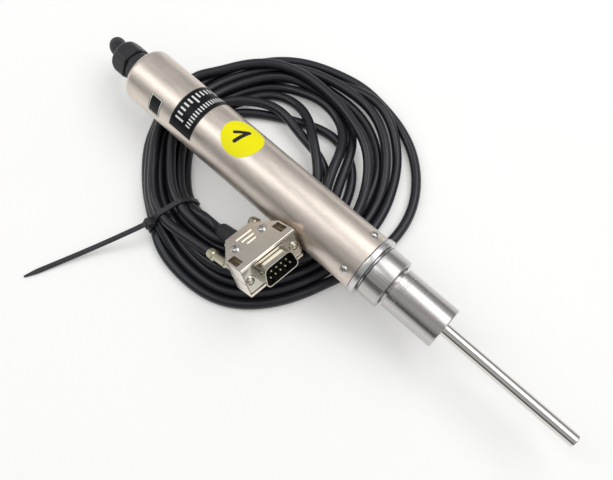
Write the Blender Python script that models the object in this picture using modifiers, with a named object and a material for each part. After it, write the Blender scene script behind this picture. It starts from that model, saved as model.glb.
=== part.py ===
"""Digital measuring probe: a sprung spindle that runs in a turned stem, a closed tube that holds the
scale, reading head and circuit board, a cable gland, and a coiled cord with a nine-pin plug.

World frame: the spindle's contact face is the origin, +X points out along the spindle, +Z is up.
Lengths are in metres; MM turns a size in millimetres into metres.
"""

import math

import bmesh
import bpy
from mathutils import Euler, Matrix, Vector

MM = 0.001
GAP = 0.3 * MM
CUT = 1.0 * MM
BODY_SEGMENTS = 36
BUSH_SEGMENTS = 18
SCREW_SEGMENTS = 12
TUBE_ROUNDING_STEPS = 6
NUT_DOME_STEPS = 5

# Spindle, stem and collar, from the contact face backwards
SPINDLE_DIAMETER = 6.0 * MM
SPINDLE_EXPOSED = 66.8 * MM
SPINDLE_TRAVEL = 60.0 * MM
SPINDLE_CHAMFER = 0.5 * MM
STEM_DIAMETER = 20.0 * MM
STEM_LENGTH = 28.3 * MM
STEM_FRONT_WALL = 1.6 * MM
STEM_EDGE = 0.8 * MM
STEM_NECK_DEPTH = 0.8 * MM
STEM_NECK_WIDTH = 0.9 * MM
STEM_SPIGOT_STEP = 2.0 * MM
STEM_SEAT_DEPTH = 0.8 * MM
COLLAR_DIAMETER = 25.0 * MM
COLLAR_LENGTH = 11.1 * MM
COLLAR_EDGE = 0.6 * MM
COLLAR_GROOVE = 0.6 * MM
FLANGE_OVERHANG = 0.8 * MM
FLANGE_THICKNESS = 2.8 * MM
FLANGE_EDGE = 0.4 * MM
CAP_SPIGOT_LENGTH = 10.0 * MM
CAP_SPIGOT_EDGE = 0.5 * MM
BUSH_DIAMETER = 10.0 * MM
BUSH_LENGTH = 12.0 * MM
WIPER_LENGTH = 2.0 * MM

# Housing tube
TUBE_DIAMETER = 28.0 * MM
TUBE_END_CLEARANCE = 2.3 * MM
TUBE_WALL = 1.5 * MM
TUBE_REAR_WALL = 5.0 * MM
TUBE_REAR_ROUNDING = 3.0 * MM
TUBE_FRONT_EDGE = 0.2 * MM
TUBE_SCREW_SETBACK = 4.8 * MM
TUBE_SCREW_FIRST_ANGLE = 36.0
TUBE_SCREW_COUNT = 4
TUBE_SCREW_SHANK = 1.8 * MM
TUBE_SCREW_HEAD = 3.9 * MM
TUBE_SCREW_HEAD_HEIGHT = 1.3 * MM
TUBE_SCREW_LENGTH = 4.4 * MM

# Sliding carriage, scale and reading head inside the tube
BUFFER_DIAMETER = 10.0 * MM
BUFFER_THICKNESS = 2.0 * MM
CARRIAGE_LENGTH = 10.0 * MM
CARRIAGE_BORE_DEPTH = 7.0 * MM
CARRIAGE_TOP = 5.0 * MM
CARRIAGE_EDGE = 0.5 * MM
GUIDE_PIN_DIAMETER = 2.0 * MM
GUIDE_PIN_SEAT = 2.7 * MM
GUIDE_PIN_SETBACK = 8.5 * MM
RAIL_THICKNESS = 1.8 * MM
RAIL_HEIGHT = 10.0 * MM
SCALE_WIDTH = 8.0 * MM
SCALE_THICKNESS = 1.5 * MM
SCALE_FRONT_SETBACK = 1.0 * MM
SCALE_EDGE = 0.2 * MM
HEAD_LENGTH = 4.0 * MM
HEAD_WIDTH = 8.0 * MM
HEAD_HEIGHT = 2.7 * MM
HEAD_EDGE = 0.3 * MM
BRACKET_LENGTH = 6.0 * MM
BRACKET_THICKNESS = 1.4 * MM

# Return spring and its seat
SPRING_SEAT_THICKNESS = 3.0 * MM
SPRING_SEAT_HEIGHT = 6.0 * MM
SPRING_ROD_DIAMETER = 3.6 * MM
SPRING_ROD_CLEARANCE = 3.0 * MM
SPRING_ROD_EDGE = 0.4 * MM
SPRING_OUTER_DIAMETER = 7.6 * MM
SPRING_WIRE = 0.8 * MM
SPRING_TURNS = 9
SPRING_STEPS = 8

# Circuit board
BOARD_LENGTH = 48.0 * MM
BOARD_SIDE_CLEARANCE = 1.2 * MM
BOARD_THICKNESS = 1.2 * MM
BOARD_SETBACK = 4.5 * MM
BAR_LENGTH = 3.0 * MM
BAR_HEIGHT = 1.6 * MM
BAR_INSET = 3.5 * MM
CHIP_SIZE = (10.0 * MM, 8.0 * MM, 1.2 * MM)
BOARD_CONNECTOR_SIZE = (6.0 * MM, 6.0 * MM, 1.4 * MM)
BOARD_CONNECTOR_SETBACK = 4.0 * MM

# Cable gland
GLAND_SEAL_THICKNESS = 1.0 * MM
GLAND_SEAL_WIDTH = 1.2 * MM
GLAND_THREAD_DIAMETER = 12.0 * MM
GLAND_ACROSS_FLATS = 15.0 * MM
GLAND_HEX_LENGTH = 5.5 * MM
GLAND_HEX_EDGE = 0.5 * MM
GLAND_THREAD_EDGE = 0.4 * MM
GLAND_REAR_THREAD_DIAMETER = 11.0 * MM
GLAND_REAR_THREAD_LENGTH = 5.6 * MM
GLAND_NUT_LENGTH = 9.6 * MM
GLAND_NUT_END_DIAMETER = 11.6 * MM
GLAND_NUT_THROAT = 1.2 * MM
BOOT_DIAMETER = 7.4 * MM
BOOT_INSERTION = 12.6 * MM
BOOT_STRAIGHT = 4.0 * MM

# Cord and its coil
CORD_DIAMETER = 5.0 * MM
COIL_HEIGHT = 12.7 * MM
COIL_SIDES = 12
COIL_SEGMENTS = 40
COIL_INNER_RADIUS = 35.8 * MM
COIL_OUTER_RADIUS = 72.5 * MM
COIL_INNER_CENTRE = (-189.5 * MM, 3.5 * MM)
COIL_OUTER_CENTRE = (-178.0 * MM, 12.0 * MM)
COIL_ROUNDNESS = 0.62
COIL_PINCH = 6.0 * MM
COIL_PINCH_ANGLE = -116.0
COIL_PINCH_SPREAD = 24.0
LEAD_END_Y = 8.6 * MM
TAIL_ANGLE = -122.0
LEAD_STRAIGHT = 3.5 * MM
# Each way point of the lead: share of its run, share of its end's y, height over the table
LEAD_WAYPOINTS = (
    (0.10, 0.63, 2.6 * MM),
    (0.38, 0.79, GAP),
    (0.69, 0.91, GAP),
    (1.00, 1.00, 1.2 * MM),
)
# Each way point of the tail between the sleeve and the coil: x, y, height over the table
TAIL_WAYPOINTS = (
    (-179.6 * MM, -27.0 * MM, 12.0 * MM),
    (-183.6 * MM, -23.6 * MM, 9.8 * MM),
    (-188.8 * MM, -20.4 * MM, 7.6 * MM),
    (-194.6 * MM, -19.2 * MM, 6.6 * MM),
)

# Cable tie
TIE_ANGLE = -104.0
TIE_WIDTH = 3.0 * MM
TIE_THICKNESS = 0.9 * MM
TIE_CORNER = 3.2 * MM
TIE_LIFT = 0.1 * MM
TIE_HEAD = (5.2 * MM, 5.2 * MM, 5.0 * MM)
TIE_HEAD_EDGE = 0.6 * MM
TIE_HEAD_OVERLAP = 0.4 * MM
TIE_HEAD_HEIGHT = 5.3 * MM
TIE_TAIL_LENGTH = 63.0 * MM
TIE_TAIL_ANGLE = -112.4

# Nine-pin plug: its frame's x points out of the mating face, y along the hood, z through its thickness
PLUG_POSITION = (-138.05 * MM, -29.8 * MM, 8.0 * MM)
PLUG_PITCH = 30.6
PLUG_YAW = 1.1
PLUG_ROLL = -9.8
HOOD_SIDE_MARGIN = 2.8 * MM
HOOD_FRONT_DEPTH = 10.7 * MM
HOOD_DEPTH = 22.3 * MM
HOOD_REAR_WIDTH = 14.0 * MM
HOOD_THICKNESS = 15.8 * MM
HOOD_WALL = 1.3 * MM
HOOD_CHAMBER_WIDTH = 18.6 * MM
HOOD_CHAMBER_DEPTH = 9.0 * MM
HOOD_CORNER = 0.8 * MM
HOOD_RIB_HEIGHT = 0.45 * MM
HOOD_RIB_WIDTH = 0.7 * MM
HOOD_RIB_FIRST = 11.8 * MM
HOOD_RIB_PITCH = 2.95 * MM
HOOD_RIB_LENGTHS = (5.4 * MM, 7.2 * MM, 9.0 * MM)
HOOD_WINDOW_FRONT = 3.6 * MM
HOOD_WINDOW_LENGTH = 6.7 * MM
HOOD_WINDOW_WIDTH = 3.7 * MM
HOOD_WINDOW_FLOOR = 0.6 * MM
HOOD_SCREW_X = 13.3 * MM
HOOD_SCREW_Y = 7.6 * MM
HOOD_SCREW_HEAD = 4.2 * MM
HOOD_SCREW_SHANK = 2.0 * MM
HOOD_SCREW_HEAD_HEIGHT = 1.1 * MM
HOOD_SIDE_LIP = 0.4 * MM
HOOD_TOP_LIP = 1.4 * MM
PLATE_THICKNESS = 1.0 * MM
SHELL_WIDTH = 16.92 * MM
SHELL_HEIGHT = 8.36 * MM
SHELL_REACH = 5.8 * MM
SHELL_WALL = 0.46 * MM
SHELL_CORNER = 2.6 * MM
INSULATOR_DEPTH = 6.0 * MM
INSULATOR_PROUD = 0.4 * MM
PIN_DIAMETER = 1.0 * MM
PIN_PITCH = 2.77 * MM
PIN_ROW_OFFSET = 1.42 * MM
PIN_REACH = 5.0 * MM
PIN_TAIL = 0.8 * MM
JACKSCREW_SPACING = 25.0 * MM
JACKSCREW_SHANK = 2.8 * MM
JACKSCREW_KNOB = 5.2 * MM
JACKSCREW_KNOB_LENGTH = 8.4 * MM
JACKSCREW_LENGTH = 33.2 * MM
JACKSCREW_REACH = 0.8 * MM
JACKSCREW_EDGE = 0.5 * MM
CLAMP_THICKNESS = 1.5 * MM
CLAMP_WIDTH = 12.8 * MM
CLAMP_HEIGHT = 11.0 * MM
CLAMP_EDGE = 0.3 * MM
SLEEVE_DIAMETER = 7.6 * MM
SLEEVE_START = 10.0 * MM
SLEEVE_END = 40.0 * MM
SLEEVE_EDGE = 0.4 * MM

# Stations along the axis that follow from the sizes above
X_STEM_FRONT = -SPINDLE_EXPOSED
X_COLLAR_FRONT = X_STEM_FRONT - STEM_LENGTH
X_FLANGE_REAR = X_COLLAR_FRONT - COLLAR_LENGTH - FLANGE_THICKNESS
X_CAP_REAR = X_FLANGE_REAR - CAP_SPIGOT_LENGTH
X_TUBE_FRONT = X_FLANGE_REAR - GAP
X_BUFFER_FRONT = X_CAP_REAR - GAP
X_CARRIAGE_FRONT = X_BUFFER_FRONT - BUFFER_THICKNESS - GAP
X_CARRIAGE_REAR = X_CARRIAGE_FRONT - CARRIAGE_LENGTH
X_SCALE_FRONT = X_CARRIAGE_FRONT - SCALE_FRONT_SETBACK
SCALE_LENGTH = SPINDLE_TRAVEL + HEAD_LENGTH
X_SCALE_REAR = X_SCALE_FRONT - SCALE_LENGTH
X_TUBE_FLOOR = X_SCALE_REAR - SPINDLE_TRAVEL - TUBE_END_CLEARANCE
X_TUBE_REAR = X_TUBE_FLOOR - TUBE_REAR_WALL
TUBE_LENGTH = X_TUBE_FRONT - X_TUBE_REAR
X_RAIL_REAR = X_TUBE_FLOOR + GAP
X_GLAND_HEX = X_TUBE_REAR - GLAND_SEAL_THICKNESS - 2 * GAP
X_NUT_FRONT = X_GLAND_HEX - GLAND_HEX_LENGTH - GAP
X_NUT_REAR = X_NUT_FRONT - GLAND_NUT_LENGTH

# Radii and widths that follow from the tube's bore
TUBE_RADIUS = TUBE_DIAMETER / 2
BORE_RADIUS = TUBE_RADIUS - TUBE_WALL
FREE_RADIUS = BORE_RADIUS - GAP
RAIL_OUTER_Y = math.sqrt(FREE_RADIUS**2 - (RAIL_HEIGHT / 2) ** 2)
RAIL_INNER_Y = RAIL_OUTER_Y - RAIL_THICKNESS
BRACKET_DEPTH = math.sqrt(FREE_RADIUS**2 - (HEAD_WIDTH / 2) ** 2)
HEAD_FLOOR = GAP + BRACKET_THICKNESS - BRACKET_DEPTH
HEAD_TOP = HEAD_FLOOR + HEAD_HEIGHT
SCALE_TOP = HEAD_TOP + GAP + SCALE_THICKNESS
CARRIAGE_BOTTOM = SCALE_TOP + GAP
HOOD_WIDTH = JACKSCREW_SPACING + 2 * HOOD_SIDE_MARGIN
PLATE_WIDTH = HOOD_WIDTH - 2 * (HOOD_SIDE_LIP + GAP)
PLATE_HEIGHT = HOOD_THICKNESS - 2 * (HOOD_TOP_LIP + GAP)
TABLE_Z = -(TUBE_RADIUS + GAP + COIL_HEIGHT)
PROBE_TO_X = (0.0, math.radians(90), 0.0)
PROBE_TO_Y = (math.radians(-90), 0.0, 0.0)
SECTION_TO_X = (math.radians(90), 0.0, math.radians(90))


for leftover in list(bpy.data.objects):
    bpy.data.objects.remove(leftover, do_unlink=True)


def make_collection(name):
    collection = bpy.data.collections.new(name)
    bpy.context.scene.collection.children.link(collection)
    return collection


PARTS = make_collection("measuring_probe")
CUTTERS = make_collection("cutters")


def make_material(name, colour, roughness, metallic=0.0):
    material = bpy.data.materials.new(name)
    material.use_nodes = True
    shader = material.node_tree.nodes["Principled BSDF"]
    shader.inputs["Base Color"].default_value = (*colour, 1.0)
    shader.inputs["Roughness"].default_value = roughness
    shader.inputs["Metallic"].default_value = metallic
    material.diffuse_color = (*colour, 1.0)
    return material


CHAMPAGNE_NICKEL = make_material("champagne_nickel", (0.52, 0.46, 0.40), 0.38, 1.0)
TURNED_ALUMINIUM = make_material("turned_aluminium", (0.72, 0.71, 0.72), 0.26, 1.0)
BRIGHT_ALUMINIUM = make_material("bright_aluminium", (0.82, 0.82, 0.83), 0.30, 1.0)
GROUND_STEEL = make_material("ground_steel", (0.66, 0.65, 0.65), 0.14, 1.0)
SCREW_STEEL = make_material("screw_steel", (0.62, 0.61, 0.60), 0.25, 1.0)
BRONZE = make_material("bronze", (0.55, 0.36, 0.17), 0.35, 1.0)
BRASS = make_material("brass", (0.72, 0.56, 0.24), 0.30, 1.0)
PLUG_NICKEL = make_material("plug_nickel", (0.64, 0.59, 0.50), 0.34, 1.0)
GOLD_PLATE = make_material("gold_plate", (0.83, 0.68, 0.38), 0.25, 1.0)
BLACK_NYLON = make_material("black_nylon", (0.020, 0.021, 0.023), 0.50)
BLACK_RUBBER = make_material("black_rubber", (0.026, 0.026, 0.029), 0.62)
CORD_VINYL = make_material("cord_vinyl", (0.022, 0.022, 0.028), 0.42)
SCALE_ALLOY = make_material("scale_alloy", (0.35, 0.36, 0.38), 0.30, 0.6)
BOARD_GREEN = make_material("board_green", (0.020, 0.110, 0.050), 0.50)
CHIP_BLACK = make_material("chip_black", (0.015, 0.015, 0.016), 0.55)


def add_object(name, mesh, material, collection=None):
    obj = bpy.data.objects.new(name, mesh)
    (collection or PARTS).objects.link(obj)
    if material is not None:
        mesh.materials.append(material)
    if collection is CUTTERS:
        obj.hide_render = True
        obj.display_type = "WIRE"
    return obj


def turned(name, profile, material, segments=32, closed=False, collection=None):
    """A turned piece on its own +Z. The profile is (radius, height), top to bottom down the outer side."""
    mesh = bpy.data.meshes.new(name)
    edges = [(i, i + 1) for i in range(len(profile) - 1)]
    if closed:
        edges.append((len(profile) - 1, 0))
    mesh.from_pydata([(r, 0.0, z) for r, z in profile], edges, [])
    obj = add_object(name, mesh, material, collection)
    screw = obj.modifiers.new("Screw", "SCREW")
    screw.axis = "Z"
    screw.steps = segments
    screw.render_steps = segments
    screw.use_merge_vertices = True
    screw.merge_threshold = 0.00001
    screw.use_smooth_shade = True
    return obj


def ring(name, outer, inner, length, material, segments=32, edge=0.0, collection=None):
    """A plain turned sleeve that starts at its own origin and runs down its -Z."""
    profile = [(outer - edge, 0.0), (outer, -edge)] if edge else [(outer, 0.0)]
    profile += [(outer, edge - length), (outer - edge, -length)] if edge else [(outer, -length)]
    profile += [(inner, -length), (inner, 0.0)]
    return turned(name, profile, material, segments, True, collection)


def rod(name, radius, length, material, segments=24, edge=0.0, collection=None):
    """A plain turned pin that starts at its own origin and runs down its -Z."""
    profile = [(0.0, 0.0)]
    profile += [(radius - edge, 0.0), (radius, -edge)] if edge else [(radius, 0.0)]
    profile += [(radius, edge - length), (radius - edge, -length)] if edge else [(radius, -length)]
    profile.append((0.0, -length))
    return turned(name, profile, material, segments, False, collection)


def along_probe(obj, x, y=0.0, z=0.0):
    """Lays a turned piece along the probe, its own +Z pointing out of the stem."""
    obj.rotation_euler = PROBE_TO_X
    obj.location = (x, y, z)
    return obj


def block(name, low, high, material, edge=0.0, collection=None):
    """A cuboid between two corners, with its origin at its centre and an optional bevel."""
    size = [b - a for a, b in zip(low, high)]
    mesh = bpy.data.meshes.new(name)
    bm = bmesh.new()
    bmesh.ops.create_cube(bm, size=1.0)
    bmesh.ops.scale(bm, vec=size, verts=bm.verts)
    bm.to_mesh(mesh)
    bm.free()
    obj = add_object(name, mesh, material, collection)
    obj.location = [(a + b) / 2 for a, b in zip(low, high)]
    if edge:
        bevel = obj.modifiers.new("Bevel", "BEVEL")
        bevel.width = edge
        bevel.segments = 1
    return obj


def outline_solid(name, outlines, height, material, collection=None):
    """A flat outline, with any holes, extruded to a height about its own plane."""
    curve = bpy.data.curves.new(name, "CURVE")
    curve.dimensions = "2D"
    curve.fill_mode = "BOTH"
    curve.extrude = height / 2
    for points in outlines:
        spline = curve.splines.new("POLY")
        spline.points.add(len(points) - 1)
        for point, (x, y) in zip(spline.points, points):
            point.co = (x, y, 0.0, 1.0)
        spline.use_cyclic_u = True
    return mesh_from_curve(name, curve, material, collection)


def mesh_from_curve(name, curve, material, collection=None):
    source = bpy.data.objects.new(name + "_curve", curve)
    PARTS.objects.link(source)
    bpy.context.view_layer.update()
    graph = bpy.context.evaluated_depsgraph_get()
    mesh = bpy.data.meshes.new_from_object(source.evaluated_get(graph))
    bpy.data.objects.remove(source, do_unlink=True)
    bpy.data.curves.remove(curve)
    bm = bmesh.new()
    bm.from_mesh(mesh)
    bmesh.ops.remove_doubles(bm, verts=bm.verts, dist=0.000005)
    bmesh.ops.recalc_face_normals(bm, faces=bm.faces)
    bm.to_mesh(mesh)
    bm.free()
    mesh.name = name
    return add_object(name, mesh, material, collection)


def combine(target, other, operation="DIFFERENCE"):
    modifier = target.modifiers.new(operation.title(), "BOOLEAN")
    modifier.operation = operation
    modifier.object = other
    return target


def parent_to(obj, empty):
    obj.parent = empty
    return obj


def rounded_outline(points, radius, steps=4):
    """The corners of a convex outline rounded to one radius."""
    result = []
    count = len(points)
    for i, corner in enumerate(points):
        corner = Vector(corner)
        before = (Vector(points[i - 1]) - corner).normalized()
        after = (Vector(points[(i + 1) % count]) - corner).normalized()
        half = before.angle(after) / 2
        centre = corner + (before + after).normalized() * (radius / math.sin(half))
        start = (corner + before * (radius / math.tan(half)) - centre).normalized()
        end = (corner + after * (radius / math.tan(half)) - centre).normalized()
        for step in range(steps + 1):
            result.append(tuple(centre + start.slerp(end, step / steps) * radius))
    return result


def smooth_route(route, spacing):
    """Evenly spaced points on a smooth curve through the points of a route."""
    knots = [Vector(p) for p in route]
    ends = [2 * knots[0] - knots[1]] + knots + [2 * knots[-1] - knots[-2]]
    dense = []
    for a, b, c, d in zip(ends, ends[1:], ends[2:], ends[3:]):
        for step in range(24):
            t = step / 24
            square = (2 * a - 5 * b + 4 * c - d) * t**2
            cube = (3 * b - a - 3 * c + d) * t**3
            dense.append(0.5 * (2 * b + (c - a) * t + square + cube))
    dense.append(knots[-1])
    total = sum((q - p).length for p, q in zip(dense, dense[1:]))
    pieces = max(2, round(total / spacing))
    points, walked, target = [dense[0]], 0.0, total / pieces
    for p, q in zip(dense, dense[1:]):
        step = (q - p).length
        while walked + step >= target - 1e-9 and len(points) < pieces:
            points.append(p.lerp(q, (target - walked) / step))
            target += total / pieces
        walked += step
    points.append(dense[-1])
    return points


def tube_along(name, points, radius, material, sides=3):
    """A round tube with closed ends along the given points."""
    curve = bpy.data.curves.new(name, "CURVE")
    curve.dimensions = "3D"
    curve.bevel_depth = radius
    curve.bevel_resolution = sides
    curve.use_fill_caps = True
    spline = curve.splines.new("POLY")
    spline.points.add(len(points) - 1)
    for point, co in zip(spline.points, points):
        point.co = (*co, 1.0)
    obj = bpy.data.objects.new(name, curve)
    PARTS.objects.link(obj)
    curve.materials.append(material)
    return obj


# Spindle and what slides with it
spindle_mount = bpy.data.objects.new("spindle_axis", None)
PARTS.objects.link(spindle_mount)

spindle_length = -X_CARRIAGE_FRONT + CARRIAGE_BORE_DEPTH - GAP
spindle = rod("spindle", SPINDLE_DIAMETER / 2, spindle_length, GROUND_STEEL, 24, SPINDLE_CHAMFER)
parent_to(along_probe(spindle, 0.0), spindle_mount)

running_bore = SPINDLE_DIAMETER / 2 + GAP
buffer_radius = BUFFER_DIAMETER / 2
buffer_ring = ring("buffer_ring", buffer_radius, running_bore, BUFFER_THICKNESS, BLACK_RUBBER, BUSH_SEGMENTS)
parent_to(along_probe(buffer_ring, X_BUFFER_FRONT), spindle_mount)

carriage_half_width = RAIL_INNER_Y - GAP
carriage = block(
    "carriage",
    (X_CARRIAGE_REAR, -carriage_half_width, CARRIAGE_BOTTOM),
    (X_CARRIAGE_FRONT, carriage_half_width, CARRIAGE_TOP),
    BRASS,
    CARRIAGE_EDGE,
)
carriage_bore = rod("carriage_bore", running_bore, CARRIAGE_BORE_DEPTH + CUT, None, 24, collection=CUTTERS)
along_probe(carriage_bore, X_CARRIAGE_FRONT + CUT)
combine(carriage, carriage_bore)
x_guide_pin = X_CARRIAGE_FRONT - GUIDE_PIN_SETBACK
pin_hole_radius = GUIDE_PIN_DIAMETER / 2 + GAP
pin_hole = rod("guide_pin_hole", pin_hole_radius, GUIDE_PIN_SEAT + GAP + CUT, None, 16, collection=CUTTERS)
pin_hole.rotation_euler = PROBE_TO_Y
pin_hole.location = (x_guide_pin, carriage_half_width + CUT, 0.0)
combine(carriage, pin_hole)
parent_to(carriage, spindle_mount)

guide_pin_length = RAIL_OUTER_Y - carriage_half_width + GUIDE_PIN_SEAT
guide_pin = rod("guide_pin", GUIDE_PIN_DIAMETER / 2, guide_pin_length, SCREW_STEEL, 16)
guide_pin.rotation_euler = PROBE_TO_Y
guide_pin.location = (x_guide_pin, RAIL_OUTER_Y, 0.0)
parent_to(guide_pin, spindle_mount)

scale_bar = block(
    "scale_bar",
    (X_SCALE_REAR, -SCALE_WIDTH / 2, SCALE_TOP - SCALE_THICKNESS),
    (X_SCALE_FRONT, SCALE_WIDTH / 2, SCALE_TOP),
    SCALE_ALLOY,
    SCALE_EDGE,
)
parent_to(scale_bar, spindle_mount)

# Stem with its bushes and wiper
stem_radius = STEM_DIAMETER / 2
stem_spigot_radius = stem_radius - STEM_SPIGOT_STEP
bush_bore = BUSH_DIAMETER / 2 + GAP
stem_total = X_STEM_FRONT - X_CAP_REAR
stem_shoulder = GAP - STEM_LENGTH - STEM_SEAT_DEPTH
neck_top = stem_shoulder + STEM_SEAT_DEPTH + STEM_NECK_WIDTH
stem_profile = [
    (stem_radius - STEM_EDGE, 0.0),
    (stem_radius - 0.25 * STEM_EDGE, -0.35 * STEM_EDGE),
    (stem_radius, -STEM_EDGE),
    (stem_radius, neck_top),
    (stem_radius - STEM_NECK_DEPTH, neck_top),
    (stem_radius - STEM_NECK_DEPTH, stem_shoulder),
    (stem_spigot_radius, stem_shoulder),
    (stem_spigot_radius, -stem_total),
    (bush_bore, -stem_total),
    (bush_bore, -STEM_FRONT_WALL),
    (running_bore, -STEM_FRONT_WALL),
    (running_bore, 0.0),
]
along_probe(turned("stem", stem_profile, TURNED_ALUMINIUM, BODY_SEGMENTS, True), X_STEM_FRONT)

x_wiper = X_STEM_FRONT - STEM_FRONT_WALL - GAP
wiper = ring("wiper_seal", BUSH_DIAMETER / 2, running_bore, WIPER_LENGTH, BLACK_RUBBER, BUSH_SEGMENTS)
along_probe(wiper, x_wiper)
front_bush = ring("front_bush", BUSH_DIAMETER / 2, running_bore, BUSH_LENGTH, BRONZE, BUSH_SEGMENTS)
along_probe(front_bush, x_wiper - WIPER_LENGTH - GAP)
rear_bush = ring("rear_bush", BUSH_DIAMETER / 2, running_bore, BUSH_LENGTH, BRONZE, BUSH_SEGMENTS)
along_probe(rear_bush, X_CAP_REAR + BUSH_LENGTH)

# Front cap: collar, flange and the spigot that plugs the tube
collar_radius = COLLAR_DIAMETER / 2
flange_radius = TUBE_RADIUS + FLANGE_OVERHANG
flange_front = -COLLAR_LENGTH
flange_back = flange_front - FLANGE_THICKNESS
cap_profile = [
    (collar_radius - COLLAR_EDGE, 0.0),
    (collar_radius, -COLLAR_EDGE),
    (collar_radius, flange_front + COLLAR_GROOVE),
    (collar_radius - COLLAR_GROOVE, flange_front + COLLAR_GROOVE),
    (collar_radius - COLLAR_GROOVE, flange_front),
    (flange_radius - FLANGE_EDGE, flange_front),
    (flange_radius, flange_front - FLANGE_EDGE),
    (flange_radius, flange_back + FLANGE_EDGE),
    (flange_radius - FLANGE_EDGE, flange_back),
    (FREE_RADIUS, flange_back),
    (FREE_RADIUS, flange_back - CAP_SPIGOT_LENGTH + CAP_SPIGOT_EDGE),
    (FREE_RADIUS - CAP_SPIGOT_EDGE, flange_back - CAP_SPIGOT_LENGTH),
    (stem_spigot_radius + GAP, flange_back - CAP_SPIGOT_LENGTH),
    (stem_spigot_radius + GAP, -STEM_SEAT_DEPTH),
    (stem_radius + GAP, -STEM_SEAT_DEPTH),
    (stem_radius + GAP, 0.0),
]
front_cap = turned("front_cap", cap_profile, BRIGHT_ALUMINIUM, BODY_SEGMENTS, True)
along_probe(front_cap, X_COLLAR_FRONT)

# Housing tube with its rounded closed rear
tube_profile = [
    (TUBE_RADIUS - TUBE_FRONT_EDGE, 0.0),
    (TUBE_RADIUS, -TUBE_FRONT_EDGE),
    (TUBE_RADIUS, TUBE_REAR_ROUNDING - TUBE_LENGTH),
]
for step in range(1, TUBE_ROUNDING_STEPS + 1):
    turn = math.radians(90 * step / TUBE_ROUNDING_STEPS)
    tube_profile.append(
        (
            TUBE_RADIUS - TUBE_REAR_ROUNDING * (1 - math.cos(turn)),
            TUBE_REAR_ROUNDING * (1 - math.sin(turn)) - TUBE_LENGTH,
        )
    )
gland_hole_radius = GLAND_THREAD_DIAMETER / 2 + GAP
tube_profile += [
    (gland_hole_radius, -TUBE_LENGTH),
    (gland_hole_radius, TUBE_REAR_WALL - TUBE_LENGTH),
    (BORE_RADIUS, TUBE_REAR_WALL - TUBE_LENGTH),
    (BORE_RADIUS, 0.0),
]
housing = turned("housing_tube", tube_profile, CHAMPAGNE_NICKEL, BODY_SEGMENTS, True)
along_probe(housing, X_TUBE_FRONT)

# Screws that hold the cap in the tube, and the holes for them
x_tube_screw = X_TUBE_FRONT - TUBE_SCREW_SETBACK
hole_mesh = bpy.data.meshes.new("tube_screw_holes")
holes = bmesh.new()
screw_reach = TUBE_RADIUS + GAP - TUBE_SCREW_LENGTH
hole_bottom = screw_reach - GAP
hole_top = TUBE_RADIUS + CUT
head_radius = TUBE_SCREW_HEAD / 2
head_profile = [
    (0.0, TUBE_SCREW_HEAD_HEIGHT),
    (0.55 * head_radius, 0.93 * TUBE_SCREW_HEAD_HEIGHT),
    (0.90 * head_radius, 0.62 * TUBE_SCREW_HEAD_HEIGHT),
    (head_radius, 0.25 * TUBE_SCREW_HEAD_HEIGHT),
    (head_radius, 0.0),
    (TUBE_SCREW_SHANK / 2, 0.0),
    (TUBE_SCREW_SHANK / 2, -TUBE_SCREW_LENGTH),
    (0.0, -TUBE_SCREW_LENGTH),
]
for index in range(TUBE_SCREW_COUNT):
    angle = math.radians(TUBE_SCREW_FIRST_ANGLE) + 2 * math.pi * index / TUBE_SCREW_COUNT
    outward = Vector((0.0, math.sin(angle), math.cos(angle)))
    turn = Matrix.Rotation(-angle, 4, "X")
    middle = Matrix.Translation(Vector((x_tube_screw, 0, 0)) + outward * (hole_top + hole_bottom) / 2)
    bmesh.ops.create_cone(
        holes,
        cap_ends=True,
        segments=SCREW_SEGMENTS,
        radius1=TUBE_SCREW_SHANK / 2 + GAP,
        radius2=TUBE_SCREW_SHANK / 2 + GAP,
        depth=hole_top - hole_bottom,
        matrix=middle @ turn,
    )
    tube_screw = turned(f"tube_screw_{index + 1}", head_profile, SCREW_STEEL, SCREW_SEGMENTS)
    tube_screw.rotation_euler = (-angle, 0.0, 0.0)
    tube_screw.location = Vector((x_tube_screw, 0, 0)) + outward * (TUBE_RADIUS + GAP)
holes.to_mesh(hole_mesh)
holes.free()
screw_holes = add_object("tube_screw_holes", hole_mesh, None, CUTTERS)
combine(housing, screw_holes)
combine(front_cap, screw_holes)

# Side rails, the slotted one guiding the carriage's pin
rail_half = RAIL_HEIGHT / 2
rail_front = X_CAP_REAR - GAP
slotted_rail = block(
    "slotted_rail",
    (X_RAIL_REAR, RAIL_INNER_Y, -rail_half),
    (rail_front, RAIL_OUTER_Y, rail_half),
    SCREW_STEEL,
)
slot_half = GUIDE_PIN_DIAMETER / 2 + GAP
slot = block(
    "rail_slot",
    (x_guide_pin - SPINDLE_TRAVEL - slot_half - GAP, RAIL_INNER_Y - CUT, -slot_half),
    (x_guide_pin + slot_half + GAP, RAIL_OUTER_Y + CUT, slot_half),
    None,
    collection=CUTTERS,
)
combine(slotted_rail, slot)
plain_rail = block(
    "plain_rail",
    (X_RAIL_REAR, -RAIL_OUTER_Y, -rail_half),
    (rail_front, -RAIL_INNER_Y, rail_half),
    SCREW_STEEL,
)

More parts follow.
